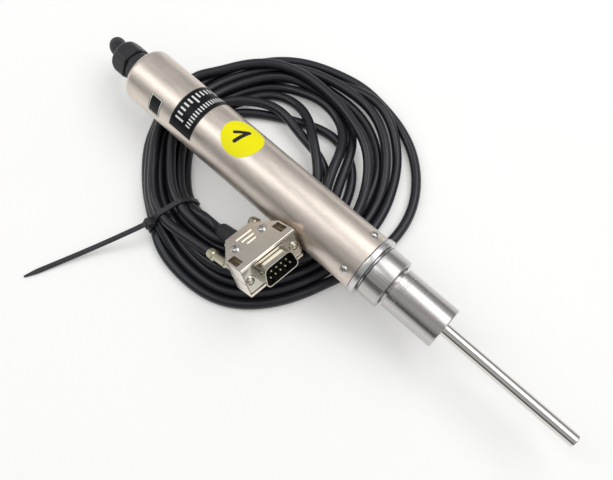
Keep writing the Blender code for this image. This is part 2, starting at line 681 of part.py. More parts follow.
# Reading head in its bent bracket under the rails
x_head = X_SCALE_REAR + HEAD_LENGTH / 2
reading_head = block(
    "reading_head",
    (X_SCALE_REAR, -HEAD_WIDTH / 2, HEAD_FLOOR),
    (X_SCALE_REAR + HEAD_LENGTH, HEAD_WIDTH / 2, HEAD_TOP),
    CHIP_BLACK,
    HEAD_EDGE,
)
bracket_top = -rail_half - GAP
bracket_arm = math.sqrt(FREE_RADIUS**2 - bracket_top**2) - GAP
half_bracket = [
    (HEAD_WIDTH / 2 + 0.7 * BRACKET_THICKNESS, BRACKET_THICKNESS - BRACKET_DEPTH),
    (bracket_arm - 0.8 * BRACKET_THICKNESS, bracket_top),
    (bracket_arm, bracket_top),
    (HEAD_WIDTH / 2, -BRACKET_DEPTH),
]
bracket_outline = half_bracket + [(-y, z) for y, z in reversed(half_bracket)]
head_bracket = outline_solid("head_bracket", [bracket_outline], BRACKET_LENGTH, SCREW_STEEL)
head_bracket.rotation_euler = SECTION_TO_X
head_bracket.location = (x_head, 0.0, 0.0)

# Return spring on its rod, against a seat between the rails
seat_rear = X_RAIL_REAR
seat_front = seat_rear + SPRING_SEAT_THICKNESS
spring_seat = block(
    "spring_seat",
    (seat_rear, -carriage_half_width, -SPRING_SEAT_HEIGHT / 2),
    (seat_front, carriage_half_width, SPRING_SEAT_HEIGHT / 2),
    BRASS,
)
rod_radius = SPRING_ROD_DIAMETER / 2
hole_depth = SPRING_SEAT_THICKNESS + 2 * CUT
rod_hole = rod("spring_rod_hole", rod_radius + GAP, hole_depth, None, 16, collection=CUTTERS)
along_probe(rod_hole, seat_front + CUT)
combine(spring_seat, rod_hole)
rod_front = X_CARRIAGE_REAR - SPINDLE_TRAVEL - SPRING_ROD_CLEARANCE
spring_rod = rod("spring_rod", rod_radius, rod_front - seat_rear, SCREW_STEEL, 16, SPRING_ROD_EDGE)
along_probe(spring_rod, rod_front)

spring_front = X_CARRIAGE_REAR - GAP - SPRING_WIRE / 2
spring_rear = seat_front + GAP + SPRING_WIRE / 2
spring_radius = (SPRING_OUTER_DIAMETER - SPRING_WIRE) / 2
spring_points = []
for step in range(SPRING_TURNS * SPRING_STEPS + 1):
    share = step / (SPRING_TURNS * SPRING_STEPS)
    angle = 2 * math.pi * step / SPRING_STEPS
    spring_points.append(
        (
            spring_rear + (spring_front - spring_rear) * share,
            spring_radius * math.cos(angle),
            spring_radius * math.sin(angle),
        )
    )
tube_along("return_spring", spring_points, SPRING_WIRE / 2, GROUND_STEEL, 1)

# Circuit board on two bars over the rails
board_rear = X_RAIL_REAR + BOARD_SETBACK
board_front = board_rear + BOARD_LENGTH
bar_floor = rail_half + GAP
bar_top = bar_floor + BAR_HEIGHT
bar_half = math.sqrt(FREE_RADIUS**2 - bar_top**2)
board_floor = bar_top + GAP
board_top = board_floor + BOARD_THICKNESS
board_half = math.sqrt(FREE_RADIUS**2 - board_top**2) - BOARD_SIDE_CLEARANCE
for bar_name, bar_x in (
    ("board_bar_rear", board_rear + BAR_INSET),
    ("board_bar_front", board_front - BAR_INSET - BAR_LENGTH),
):
    block(bar_name, (bar_x, -bar_half, bar_floor), (bar_x + BAR_LENGTH, bar_half, bar_top), SCREW_STEEL)
block(
    "circuit_board",
    (board_rear, -board_half, board_floor),
    (board_front, board_half, board_top),
    BOARD_GREEN,
)
for chip_name, chip_size, chip_x, chip_material in (
    ("signal_chip", CHIP_SIZE, (board_rear + board_front - CHIP_SIZE[0]) / 2, CHIP_BLACK),
    ("board_connector", BOARD_CONNECTOR_SIZE, board_rear + BOARD_CONNECTOR_SETBACK, BLACK_NYLON),
):
    length, breadth, height = chip_size
    chip_floor = board_top + GAP
    block(
        chip_name,
        (chip_x, -breadth / 2, chip_floor),
        (chip_x + length, breadth / 2, chip_floor + height),
        chip_material,
    )

# Cable gland: seal, body and nut, each hexagon cut from a turned blank
boot_bore = BOOT_DIAMETER / 2 + GAP
corner_radius = GLAND_ACROSS_FLATS / 2 / math.cos(math.radians(30))
thread_radius = GLAND_THREAD_DIAMETER / 2
rear_thread_radius = GLAND_REAR_THREAD_DIAMETER / 2
front_thread = X_TUBE_FLOOR - GAP - X_GLAND_HEX

seal_inner = gland_hole_radius
seal_outer = seal_inner + GLAND_SEAL_WIDTH
gland_seal = ring("gland_seal", seal_outer, seal_inner, GLAND_SEAL_THICKNESS, BLACK_RUBBER, BUSH_SEGMENTS)
along_probe(gland_seal, X_TUBE_REAR - GAP)


def hexagon_blank(name, x_middle, length):
    """A hexagonal bar along the probe, which keeps what lies inside it."""
    mesh = bpy.data.meshes.new(name)
    bar = bmesh.new()
    bmesh.ops.create_cone(
        bar, cap_ends=True, segments=6, radius1=corner_radius, radius2=corner_radius, depth=length
    )
    bar.to_mesh(mesh)
    bar.free()
    return along_probe(add_object(name, mesh, None, CUTTERS), x_middle)


gland_profile = [
    (thread_radius - GLAND_THREAD_EDGE, front_thread),
    (thread_radius, front_thread - GLAND_THREAD_EDGE),
    (thread_radius, 0.0),
    (corner_radius - 2 * GLAND_HEX_EDGE, 0.0),
    (corner_radius, -GLAND_HEX_EDGE),
    (corner_radius, GLAND_HEX_EDGE - GLAND_HEX_LENGTH),
    (corner_radius - 2 * GLAND_HEX_EDGE, -GLAND_HEX_LENGTH),
    (rear_thread_radius, -GLAND_HEX_LENGTH),
    (rear_thread_radius, -GLAND_HEX_LENGTH - GLAND_REAR_THREAD_LENGTH),
    (boot_bore, -GLAND_HEX_LENGTH - GLAND_REAR_THREAD_LENGTH),
    (boot_bore, front_thread),
]
gland_body = along_probe(turned("gland_body", gland_profile, BLACK_NYLON, BUSH_SEGMENTS, True), X_GLAND_HEX)
gland_hexagon_length = 3 * (front_thread + GLAND_HEX_LENGTH + GLAND_REAR_THREAD_LENGTH)
combine(gland_body, hexagon_blank("gland_body_hexagon", X_GLAND_HEX, gland_hexagon_length), "INTERSECT")

nut_end_radius = GLAND_NUT_END_DIAMETER / 2
nut_shoulder = 0.55 * GLAND_NUT_LENGTH
nut_profile = [(corner_radius - 2 * GLAND_HEX_EDGE, 0.0), (corner_radius, -GLAND_HEX_EDGE)]
for step in range(NUT_DOME_STEPS + 1):
    turn = math.radians(90 * step / NUT_DOME_STEPS)
    nut_profile.append(
        (
            nut_end_radius + (corner_radius - nut_end_radius) * math.cos(turn),
            -nut_shoulder - (GLAND_NUT_LENGTH - nut_shoulder) * math.sin(turn),
        )
    )
nut_bore = rear_thread_radius + GAP
nut_bore_depth = GLAND_REAR_THREAD_LENGTH + GAP
nut_profile += [
    (boot_bore, -GLAND_NUT_LENGTH),
    (boot_bore, -nut_bore_depth - GLAND_NUT_THROAT),
    (nut_bore, -nut_bore_depth),
    (nut_bore, 0.0),
]
gland_nut = along_probe(turned("gland_nut", nut_profile, BLACK_NYLON, 24, True), X_NUT_FRONT)
combine(gland_nut, hexagon_blank("gland_nut_hexagon", X_NUT_FRONT, 3 * GLAND_NUT_LENGTH), "INTERSECT")

# Rubber boot out of the gland, then the cord down, back under the tube and up to the coil
boot_route = [
    (X_NUT_REAR + BOOT_INSERTION, 0.0, 0.0),
    (X_NUT_REAR + BOOT_STRAIGHT, 0.0, 0.0),
    (X_NUT_REAR, 0.0, 0.0),
    (X_NUT_REAR - 5.2 * MM, 0.8 * MM, -1.2 * MM),
    (X_NUT_REAR - 9.2 * MM, 2.0 * MM, -5.0 * MM),
    (X_NUT_REAR - 10.8 * MM, 3.2 * MM, -10.6 * MM),
]
boot_points = smooth_route(boot_route, 2.4 * MM)
tube_along("cord_boot", boot_points, BOOT_DIAMETER / 2, BLACK_RUBBER)
boot_end = boot_points[-1]
boot_heading = (boot_points[-1] - boot_points[-2]).normalized()

# The lead goes down to the table and forward to the coil's outer edge
cord_low = TABLE_Z + CORD_DIAMETER / 2
lead_foot = X_NUT_REAR - 2 * CORD_DIAMETER
coil_reach = math.sqrt(COIL_OUTER_RADIUS**2 - (COIL_OUTER_CENTRE[1] - LEAD_END_Y) ** 2)
lead_end = COIL_OUTER_CENTRE[0] - coil_reach - GAP
lead_run = lead_end - lead_foot
lead_route = [boot_end + boot_heading * GAP, boot_end + boot_heading * LEAD_STRAIGHT]
for run_share, side_share, lift in LEAD_WAYPOINTS:
    lead_route.append(Vector((lead_foot + run_share * lead_run, side_share * LEAD_END_Y, cord_low + lift)))
tube_along("cord_lead", smooth_route(lead_route, 4.0 * MM), CORD_DIAMETER / 2, CORD_VINYL)

# The coil as one solid: a turned ring whose outer edge is moved off its inner one
coil_half_width = (COIL_OUTER_RADIUS - COIL_INNER_RADIUS) / 2
coil_middle = (COIL_OUTER_RADIUS + COIL_INNER_RADIUS) / 2
coil_section = []
for step in range(COIL_SIDES):
    turn = math.radians(90 - 360 * step / COIL_SIDES)
    across, up = math.cos(turn), math.sin(turn)
    coil_section.append(
        (
            coil_middle + coil_half_width * math.copysign(abs(across) ** COIL_ROUNDNESS, across),
            COIL_HEIGHT / 2 * math.copysign(abs(up) ** COIL_ROUNDNESS, up),
        )
    )
round_coil = turned("round_coil", coil_section, CORD_VINYL, COIL_SEGMENTS, True)
bpy.context.view_layer.update()
coil_graph = bpy.context.evaluated_depsgraph_get()
coil_mesh = bpy.data.meshes.new_from_object(round_coil.evaluated_get(coil_graph))
bpy.data.objects.remove(round_coil, do_unlink=True)
coil_shift = Vector(COIL_OUTER_CENTRE) - Vector(COIL_INNER_CENTRE)


def coil_pinch(angle):
    """How far the tie draws the coil's outer edge in, at an angle in degrees round the inner centre."""
    away = (angle - COIL_PINCH_ANGLE + 180) % 360 - 180
    return COIL_PINCH * math.exp(-0.5 * (away / COIL_PINCH_SPREAD) ** 2)


for vertex in coil_mesh.vertices:
    reach = math.hypot(vertex.co.x, vertex.co.y)
    share = (reach - COIL_INNER_RADIUS) / (2 * coil_half_width)
    angle = math.atan2(vertex.co.y, vertex.co.x)
    pinched = reach - coil_pinch(math.degrees(angle)) * share
    vertex.co.x = pinched * math.cos(angle) + coil_shift.x * share
    vertex.co.y = pinched * math.sin(angle) + coil_shift.y * share
coil_mesh.name = "cord_coil"
cord_coil = add_object("cord_coil", coil_mesh, None)
cord_coil.location = (*COIL_INNER_CENTRE, TABLE_Z + COIL_HEIGHT / 2)

# Cable tie round the coil's narrow side: strap loop, head and tail, moulded in one
tie_angle = math.radians(TIE_ANGLE)
tie_out = Vector((math.cos(tie_angle), math.sin(tie_angle)))
offset = Vector(COIL_INNER_CENTRE) - Vector(COIL_OUTER_CENTRE)
along = offset.dot(tie_out)
tie_outer_edge = -along + math.sqrt(along**2 - offset.length_squared + COIL_OUTER_RADIUS**2)
tie_outer_edge -= coil_pinch(TIE_ANGLE)
loop_in = COIL_INNER_RADIUS - GAP
loop_out = tie_outer_edge + GAP
loop_floor = TABLE_Z + TIE_THICKNESS + TIE_LIFT
loop_roof = TABLE_Z + COIL_HEIGHT + GAP


def box_outline(low_x, high_x, low_y, high_y):
    return [(low_x, low_y), (high_x, low_y), (high_x, high_y), (low_x, high_y)]


loop_inner = rounded_outline(box_outline(loop_in, loop_out, loop_floor, loop_roof), TIE_CORNER)
loop_outer = rounded_outline(
    box_outline(
        loop_in - TIE_THICKNESS,
        loop_out + TIE_THICKNESS,
        loop_floor - TIE_THICKNESS,
        loop_roof + TIE_THICKNESS,
    ),
    TIE_CORNER + TIE_THICKNESS,
)
cable_tie = outline_solid("cable_tie", [loop_outer, loop_inner], TIE_WIDTH, BLACK_NYLON)
cable_tie.rotation_euler = (math.radians(90), 0.0, tie_angle)
cable_tie.location = (*COIL_INNER_CENTRE, 0.0)

head_length, head_breadth, head_height = TIE_HEAD
tie_head_centre = loop_out + TIE_THICKNESS - TIE_HEAD_OVERLAP + head_length / 2
tie_head_z = TABLE_Z + TIE_HEAD_HEIGHT
tie_head = block(
    "tie_head",
    (-head_length / 2, -head_breadth / 2, -head_height / 2),
    (head_length / 2, head_breadth / 2, head_height / 2),
    None,
    TIE_HEAD_EDGE,
    CUTTERS,
)
tie_head.rotation_euler = (0.0, 0.0, tie_angle)
tie_head_place = Vector(COIL_INNER_CENTRE) + tie_out * tie_head_centre
tie_head.location = (*tie_head_place, tie_head_z)
combine(cable_tie, tie_head, "UNION")

tail_mesh = bpy.data.meshes.new("tie_tail")
tail = bmesh.new()
bmesh.ops.create_cube(tail, size=1.0)
bmesh.ops.scale(tail, vec=(TIE_TAIL_LENGTH, TIE_WIDTH * 0.9, TIE_THICKNESS), verts=tail.verts)
bmesh.ops.translate(tail, vec=(TIE_TAIL_LENGTH / 2, 0.0, 0.0), verts=tail.verts)
for vertex in tail.verts:
    if vertex.co.x > TIE_TAIL_LENGTH / 2:
        vertex.co.y *= 0.55
tail.to_mesh(tail_mesh)
tail.free()
tie_tail = add_object("tie_tail", tail_mesh, None, CUTTERS)
tail_drop = tie_head_z - TABLE_Z - TIE_THICKNESS
tie_tail.rotation_euler = (0.0, math.asin(tail_drop / TIE_TAIL_LENGTH), math.radians(TIE_TAIL_ANGLE))
tie_tail.location = (*tie_head_place, tie_head_z)
combine(cable_tie, tie_tail, "UNION")

groove_half = (tie_outer_edge - COIL_INNER_RADIUS) / 2 + 3 * CUT
groove_depth = loop_floor + GAP - TABLE_Z
tie_groove = block(
    "tie_groove",
    (-groove_half, -TIE_WIDTH / 2 - GAP, -CUT),
    (groove_half, TIE_WIDTH / 2 + GAP, groove_depth),
    None,
    collection=CUTTERS,
)
groove_middle = Vector(COIL_INNER_CENTRE) + tie_out * (COIL_INNER_RADIUS + tie_outer_edge) / 2
tie_groove.rotation_euler = (0.0, 0.0, tie_angle)
tie_groove.location = (*groove_middle, TABLE_Z + (groove_depth - CUT) / 2)
combine(cord_coil, tie_groove)

# Plug: everything on it hangs on one empty at the middle of its mating plate
plug = bpy.data.objects.new("plug_frame", None)
PARTS.objects.link(plug)
plug.location = PLUG_POSITION
plug.rotation_mode = "XYZ"
plug.rotation_euler = (math.radians(PLUG_ROLL), math.radians(-PLUG_PITCH), math.radians(PLUG_YAW))
plug_matrix = Matrix.Translation(PLUG_POSITION) @ Euler(plug.rotation_euler, "XYZ").to_matrix().to_4x4()


def on_plug(obj):
    obj.parent = plug
    return obj


def plug_rod(name, radius, x_front, x_back, place, material, segments=12, collection=None, edge=0.0):
    """A pin along the plug's own x, at a place (y, z) on its mating face."""
    obj = rod(name, radius, x_front - x_back, material, segments, edge, collection)
    return on_plug(along_probe(obj, x_front, *place))


half_width = HOOD_WIDTH / 2
hood_outline = [
    (0.0, -half_width),
    (0.0, half_width),
    (-HOOD_FRONT_DEPTH, half_width),
    (-HOOD_DEPTH, HOOD_REAR_WIDTH / 2),
    (-HOOD_DEPTH, -HOOD_REAR_WIDTH / 2),
    (-HOOD_FRONT_DEPTH, -half_width),
]
half_thickness = HOOD_THICKNESS / 2
shell_thickness = half_thickness - GAP / 2
sleeve_bore = SLEEVE_DIAMETER / 2 + GAP
jack_y = JACKSCREW_SPACING / 2

chamber = on_plug(
    block(
        "hood_chamber",
        (-HOOD_CHAMBER_DEPTH, -HOOD_CHAMBER_WIDTH / 2, HOOD_WALL - half_thickness),
        (CUT, HOOD_CHAMBER_WIDTH / 2, half_thickness - HOOD_WALL),
        None,
        collection=CUTTERS,
    )
)
plate_pocket_depth = PLATE_THICKNESS + 2 * GAP
plate_pocket = on_plug(
    block(
        "plate_pocket",
        (-plate_pocket_depth, -PLATE_WIDTH / 2 - GAP, -PLATE_HEIGHT / 2 - GAP),
        (CUT, PLATE_WIDTH / 2 + GAP, PLATE_HEIGHT / 2 + GAP),
        None,
        collection=CUTTERS,
    )
)
sleeve_place = (0.0, 0.0)
channel_back = -HOOD_DEPTH - CUT
sleeve_channel = plug_rod("sleeve_channel", sleeve_bore, 0.0, channel_back, sleeve_place, None, 20, CUTTERS)
jack_bore = JACKSCREW_SHANK / 2 + GAP
screw_bore = HOOD_SCREW_SHANK / 2 + GAP
screw_depth = HOOD_THICKNESS - 2 * HOOD_WALL
channels = []
for side, word in ((-1, "left"), (1, "right")):
    channels.append(
        plug_rod(
            f"jackscrew_channel_{word}", jack_bore, CUT, -HOOD_DEPTH, (side * jack_y, 0.0), None, 14, CUTTERS
        )
    )
    channel = rod(f"hood_screw_channel_{word}", screw_bore, screw_depth + CUT, None, 14, collection=CUTTERS)
    channel.location = (-HOOD_SCREW_X, side * HOOD_SCREW_Y, half_thickness + CUT)
    channels.append(on_plug(channel))

for half_name, side in (("hood_top", 1), ("hood_bottom", -1)):
    hood_shape = rounded_outline(hood_outline, HOOD_CORNER, 2)
    hood = outline_solid(half_name, [hood_shape], shell_thickness, PLUG_NICKEL)
    hood.location = (0.0, 0.0, side * (GAP / 2 + shell_thickness / 2))
    on_plug(hood)
    if side == 1:
        for row, rib_length in enumerate(HOOD_RIB_LENGTHS):
            rib_x = -HOOD_RIB_FIRST - HOOD_RIB_PITCH * row
            rib = block(
                f"hood_rib_{row + 1}",
                (rib_x - HOOD_RIB_WIDTH / 2, -rib_length / 2, half_thickness - HOOD_WALL / 2),
                (rib_x + HOOD_RIB_WIDTH / 2, rib_length / 2, half_thickness + HOOD_RIB_HEIGHT),
                None,
                collection=CUTTERS,
            )
            combine(hood, on_plug(rib), "UNION")
    for cutter in (chamber, plate_pocket, sleeve_channel, *channels):
        combine(hood, cutter)
    if side == 1:
        for window_side, word in ((-1, "left"), (1, "right")):
            window_y = window_side * jack_y
            window = block(
                f"hood_window_{word}",
                (
                    -HOOD_WINDOW_FRONT - HOOD_WINDOW_LENGTH,
                    window_y - HOOD_WINDOW_WIDTH / 2,
                    HOOD_WINDOW_FLOOR,
                ),
                (-HOOD_WINDOW_FRONT, window_y + HOOD_WINDOW_WIDTH / 2, half_thickness + CUT),
                None,
                collection=CUTTERS,
            )
            combine(hood, on_plug(window))

hood_head_radius = HOOD_SCREW_HEAD / 2
hood_shank_radius = HOOD_SCREW_SHANK / 2
hood_screw_profile = [
    (0.0, HOOD_SCREW_HEAD_HEIGHT),
    (0.75 * hood_head_radius, 0.9 * HOOD_SCREW_HEAD_HEIGHT),
    (hood_head_radius, 0.45 * HOOD_SCREW_HEAD_HEIGHT),
    (hood_head_radius, 0.0),
    (hood_shank_radius, 0.0),
    (hood_shank_radius, -screw_depth),
    (0.0, -screw_depth),
]
for index, side in enumerate((-1, 1)):
    hood_screw = turned(f"hood_screw_{index + 1}", hood_screw_profile, SCREW_STEEL, SCREW_SEGMENTS)
    hood_screw.location = (-HOOD_SCREW_X, side * HOOD_SCREW_Y, half_thickness + GAP)
    on_plug(hood_screw)

# Mating plate with its D-shaped shell, the insulator inside it and the nine pins
plate_front = -GAP
plate_back = plate_front - PLATE_THICKNESS


def d_outline(width, height, corner):
    """The D shape: wide side at the bottom, flanks leaning in by ten degrees."""
    lean = height * math.tan(math.radians(10))
    corners = [
        (-width / 2, -height / 2),
        (width / 2, -height / 2),
        (width / 2 - lean, height / 2),
        (lean - width / 2, height / 2),
    ]
    return rounded_outline(corners, corner, 3)


def d_solid(name, inset, x_back, x_front, material, collection=None):
    obj = outline_solid(
        name,
        [d_outline(SHELL_WIDTH - 2 * inset, SHELL_HEIGHT - 2 * inset, SHELL_CORNER - inset)],
        x_front - x_back,
        material,
        collection,
    )
    obj.rotation_euler = SECTION_TO_X
    obj.location = ((x_front + x_back) / 2, 0.0, 0.0)
    return on_plug(obj)


plug_shell = d_solid("plug_shell", 0.0, plate_back, plate_front + SHELL_REACH, PLUG_NICKEL)
mating_plate = on_plug(
    block(
        "mating_plate",
        (plate_back, -PLATE_WIDTH / 2, -PLATE_HEIGHT / 2),
        (plate_front, PLATE_WIDTH / 2, PLATE_HEIGHT / 2),
        None,
        collection=CUTTERS,
    )
)
combine(plug_shell, mating_plate, "UNION")
shell_bore = d_solid("shell_bore", SHELL_WALL, plate_back - CUT, SHELL_REACH + CUT, None, CUTTERS)
combine(plug_shell, shell_bore)
for side, word in ((-1, "left"), (1, "right")):
    plate_hole = plug_rod(
        f"plate_hole_{word}", jack_bore, CUT, plate_back - CUT, (side * jack_y, 0.0), None, 14, CUTTERS
    )
    combine(plug_shell, plate_hole)

insulator_front = plate_front + INSULATOR_PROUD
insulator_back = insulator_front - INSULATOR_DEPTH
insulator = d_solid("plug_insulator", SHELL_WALL + GAP, insulator_back, insulator_front, BLACK_NYLON)
pin_radius = PIN_DIAMETER / 2
pin_places = [((k - 2) * PIN_PITCH, -PIN_ROW_OFFSET) for k in range(5)]
pin_places += [((k - 1.5) * PIN_PITCH, PIN_ROW_OFFSET) for k in range(4)]
for index, place in enumerate(pin_places):
    hole_name = f"pin_hole_{index + 1}"
    combine(
        insulator,
        plug_rod(hole_name, pin_radius + GAP, CUT, insulator_back - CUT, place, None, 8, CUTTERS),
    )
    pin_back = insulator_back - PIN_TAIL
    plug_rod(f"contact_pin_{index + 1}", pin_radius, plate_front + PIN_REACH, pin_back, place, GOLD_PLATE, 8)

# Jackscrews, each turning in its channel
knob_radius = JACKSCREW_KNOB / 2
jack_shank = JACKSCREW_SHANK / 2
knob_front = JACKSCREW_KNOB_LENGTH - JACKSCREW_LENGTH
jackscrew_profile = [
    (0.0, 0.0),
    (jack_shank - JACKSCREW_EDGE, 0.0),
    (jack_shank, -JACKSCREW_EDGE),
    (jack_shank, knob_front),
    (knob_radius, knob_front),
    (knob_radius, JACKSCREW_EDGE - JACKSCREW_LENGTH),
    (knob_radius - JACKSCREW_EDGE, -JACKSCREW_LENGTH),
    (0.0, -JACKSCREW_LENGTH),
]
for name, side in (("jackscrew_left", -1), ("jackscrew_right", 1)):
    jackscrew = turned(name, jackscrew_profile, PLUG_NICKEL, 16)
    on_plug(along_probe(jackscrew, JACKSCREW_REACH, side * jack_y))

# Clamp behind the hood, the sleeve on the cord and the tail that joins the coil
clamp_front = -HOOD_DEPTH - GAP
clamp_back = clamp_front - CLAMP_THICKNESS
clamp = block(
    "cable_clamp",
    (clamp_back, -CLAMP_WIDTH / 2, -CLAMP_HEIGHT / 2),
    (clamp_front, CLAMP_WIDTH / 2, CLAMP_HEIGHT / 2),
    SCREW_STEEL,
    CLAMP_EDGE,
)
on_plug(clamp)
clamp_hole = plug_rod(
    "clamp_hole", sleeve_bore, clamp_front + CUT, clamp_back - CUT, sleeve_place, None, 20, CUTTERS
)
combine(clamp, clamp_hole)
sleeve_radius = SLEEVE_DIAMETER / 2
plug_rod(
    "plug_sleeve", sleeve_radius, -SLEEVE_START, -SLEEVE_END, sleeve_place, BLACK_RUBBER, 20, edge=SLEEVE_EDGE
)

tail_start = plug_matrix @ Vector((-SLEEVE_END - GAP, 0.0, 0.0))
coil_centre = Vector((*COIL_INNER_CENTRE, TABLE_Z + COIL_HEIGHT / 2))
tail_heading = Vector((math.cos(math.radians(TAIL_ANGLE)), math.sin(math.radians(TAIL_ANGLE)), 0.0))
tail_end = coil_centre + tail_heading * (COIL_INNER_RADIUS - 1.5 * GAP)
tail_route = [
    tail_start,
    plug_matrix @ Vector((-SLEEVE_END - 3 * MM, 0.1 * MM, 0.0)),
    *[Vector((x, y, TABLE_Z + lift)) for x, y, lift in TAIL_WAYPOINTS],
    tail_end - tail_heading * 3 * MM,
    tail_end,
]
tube_along("cord_tail", smooth_route(tail_route, 3.3 * MM), CORD_DIAMETER / 2, CORD_VINYL)

for piece in PARTS.objects:
    if piece.type == "MESH" and not piece.modifiers:
        piece.data.shade_smooth()
        piece.data.set_sharp_from_angle(angle=math.radians(35))
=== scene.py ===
"""Looks of the digital measuring probe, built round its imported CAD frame.

The frame's origin is the spindle's contact face, +X points out along the spindle and +Z is up.
Lengths are in metres; MM turns a size in millimetres into metres.
"""

import math

import bmesh
import bpy
import numpy as np
from bpy.props import FloatProperty, FloatVectorProperty, IntProperty, PointerProperty
from mathutils import Euler, Matrix, Vector, kdtree


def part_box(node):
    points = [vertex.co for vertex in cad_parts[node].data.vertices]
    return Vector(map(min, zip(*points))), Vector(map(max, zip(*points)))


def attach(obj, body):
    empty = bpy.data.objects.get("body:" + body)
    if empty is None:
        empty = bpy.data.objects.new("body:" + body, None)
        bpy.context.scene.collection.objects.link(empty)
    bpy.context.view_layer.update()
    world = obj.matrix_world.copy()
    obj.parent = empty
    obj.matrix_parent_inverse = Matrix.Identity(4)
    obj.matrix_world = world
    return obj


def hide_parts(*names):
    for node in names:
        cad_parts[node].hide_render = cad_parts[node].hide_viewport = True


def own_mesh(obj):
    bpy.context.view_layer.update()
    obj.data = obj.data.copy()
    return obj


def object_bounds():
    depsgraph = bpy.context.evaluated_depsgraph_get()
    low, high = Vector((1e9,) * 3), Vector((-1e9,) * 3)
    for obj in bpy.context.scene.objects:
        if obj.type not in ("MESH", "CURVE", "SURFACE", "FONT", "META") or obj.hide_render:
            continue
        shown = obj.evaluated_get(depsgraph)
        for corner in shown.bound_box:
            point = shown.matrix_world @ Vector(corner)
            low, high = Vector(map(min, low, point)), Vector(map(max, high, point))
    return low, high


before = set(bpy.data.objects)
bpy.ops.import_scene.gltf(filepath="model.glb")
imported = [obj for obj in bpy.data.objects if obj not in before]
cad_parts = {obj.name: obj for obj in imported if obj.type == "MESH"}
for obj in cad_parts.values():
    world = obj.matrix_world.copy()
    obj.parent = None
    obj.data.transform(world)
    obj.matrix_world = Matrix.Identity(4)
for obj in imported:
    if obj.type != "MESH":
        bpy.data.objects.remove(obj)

bl_info = {
    "name": "Digital measuring probe",
    "version": (1, 0, 0),
    "blender": (4, 5, 0),
    "location": "View3D > Sidebar > Probe",
    "description": "Builds the turned, moulded and coiled pieces of a digital measuring probe",
    "category": "Object",
}

MM = 0.001
CAD_LOW, CAD_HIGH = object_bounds()
TABLE_Z = CAD_LOW.z
FLANGE_FRONT = -105.7 * MM
TUBE_RADIUS = 14.0 * MM
CLEARANCE = 0.3 * MM
SCREW_SETBACK = 4.8 * MM
SCREW_DEGREES = -36.0
COS_30 = math.cos(math.radians(30))
UPRIGHT = Matrix.Rotation(math.radians(-90), 4, "Y")
CORD_LAYERS = (2.5 * MM, 6.8 * MM, 11.1 * MM)
COIL_MIDDLE = (-186.0 * MM, 13.0 * MM)
PLUG_FRAME = Matrix.Translation((-138.05 * MM, -29.8 * MM, 8.0 * MM)) @ Euler(
    (math.radians(-9.8), math.radians(-30.6), math.radians(1.1)), "XYZ"
).to_matrix().to_4x4()
PLUG_AXIS = np.array(PLUG_FRAME.to_3x3().col[0])
PLUG_ORIGIN = np.array(PLUG_FRAME.translation)

# Places on the plug, in millimetres from the middle of its mating face
JACKSCREW_Y = 12.5
HOOD_SCREW_X = -13.3
HOOD_SCREW_Y = 7.6


def number_property(name, description, default, unit="LENGTH"):
    return FloatProperty(name=name, description=description, default=default, unit=unit)


def count_property(name, description, default, **limits):
    return IntProperty(name=name, description=description, default=default, **limits)


def colour_property(name, description, default):
    return FloatVectorProperty(
        name=name, description=description, default=default, subtype="COLOR", size=3, min=0.0, max=1.0
    )


class ProbeSizes(bpy.types.PropertyGroup):
    """Sizes of the turned and moulded pieces that a user may change."""

    round_segments: count_property("Round segments", "Facets round a turned piece", 128, min=24, max=256)
    stem_edge: number_property("Stem edge", "Rounding of the stem's front edge", 0.9 * MM)
    ring_mark_depth: number_property(
        "Ring mark depth", "Depth of the two fine ring marks on the stem", 0.07 * MM
    )
    screw_head: number_property(
        "Housing screw head", "Diameter of the cross-recess screws in the housing", 3.9 * MM
    )
    screw_count: count_property("Housing screws", "Number of screws round the housing's front end", 4, min=1)
    sticker_diameter: number_property(
        "Inspection sticker", "Diameter of the round inspection sticker", 20.2 * MM
    )
    scale_band_width: number_property(
        "Printed band", "Width of the printed band along the housing", 14.0 * MM
    )
    spring_turns: count_property("Spring turns", "Number of turns of the return spring", 9, min=2, max=20)
    knurl_count: count_property("Knob flutes", "Number of fine flutes round a jackscrew's knob", 28, min=6)
    thread_pitch: number_property(
        "Jackscrew pitch", "Distance between two turns of the jackscrew's thread", 0.7 * MM
    )
    pin_pitch: number_property("Pin pitch", "Distance between two contact pins of a row", 2.77 * MM)
    tie_width: number_property("Cable tie width", "Width of the cable tie's strap", 2.5 * MM)
    tie_tooth_pitch: number_property(
        "Cable tie teeth", "Distance between two teeth of the cable tie", 1.1 * MM
    )


class CordSizes(bpy.types.PropertyGroup):
    """Sizes of the cord and how its coil settles."""

    diameter: number_property("Cord diameter", "Outside diameter of the cord's vinyl jacket", 5.0 * MM)
    step: number_property("Point spacing", "Distance between two points of the cord's curve", 4.0 * MM)
    settling_rounds: count_property(
        "Settling rounds", "Rounds in which the turns push each other apart", 460, min=0
    )
    tie_lift: number_property(
        "Lift at the tie", "How far the cable tie under the coil lifts its turns", 1.2 * MM
    )


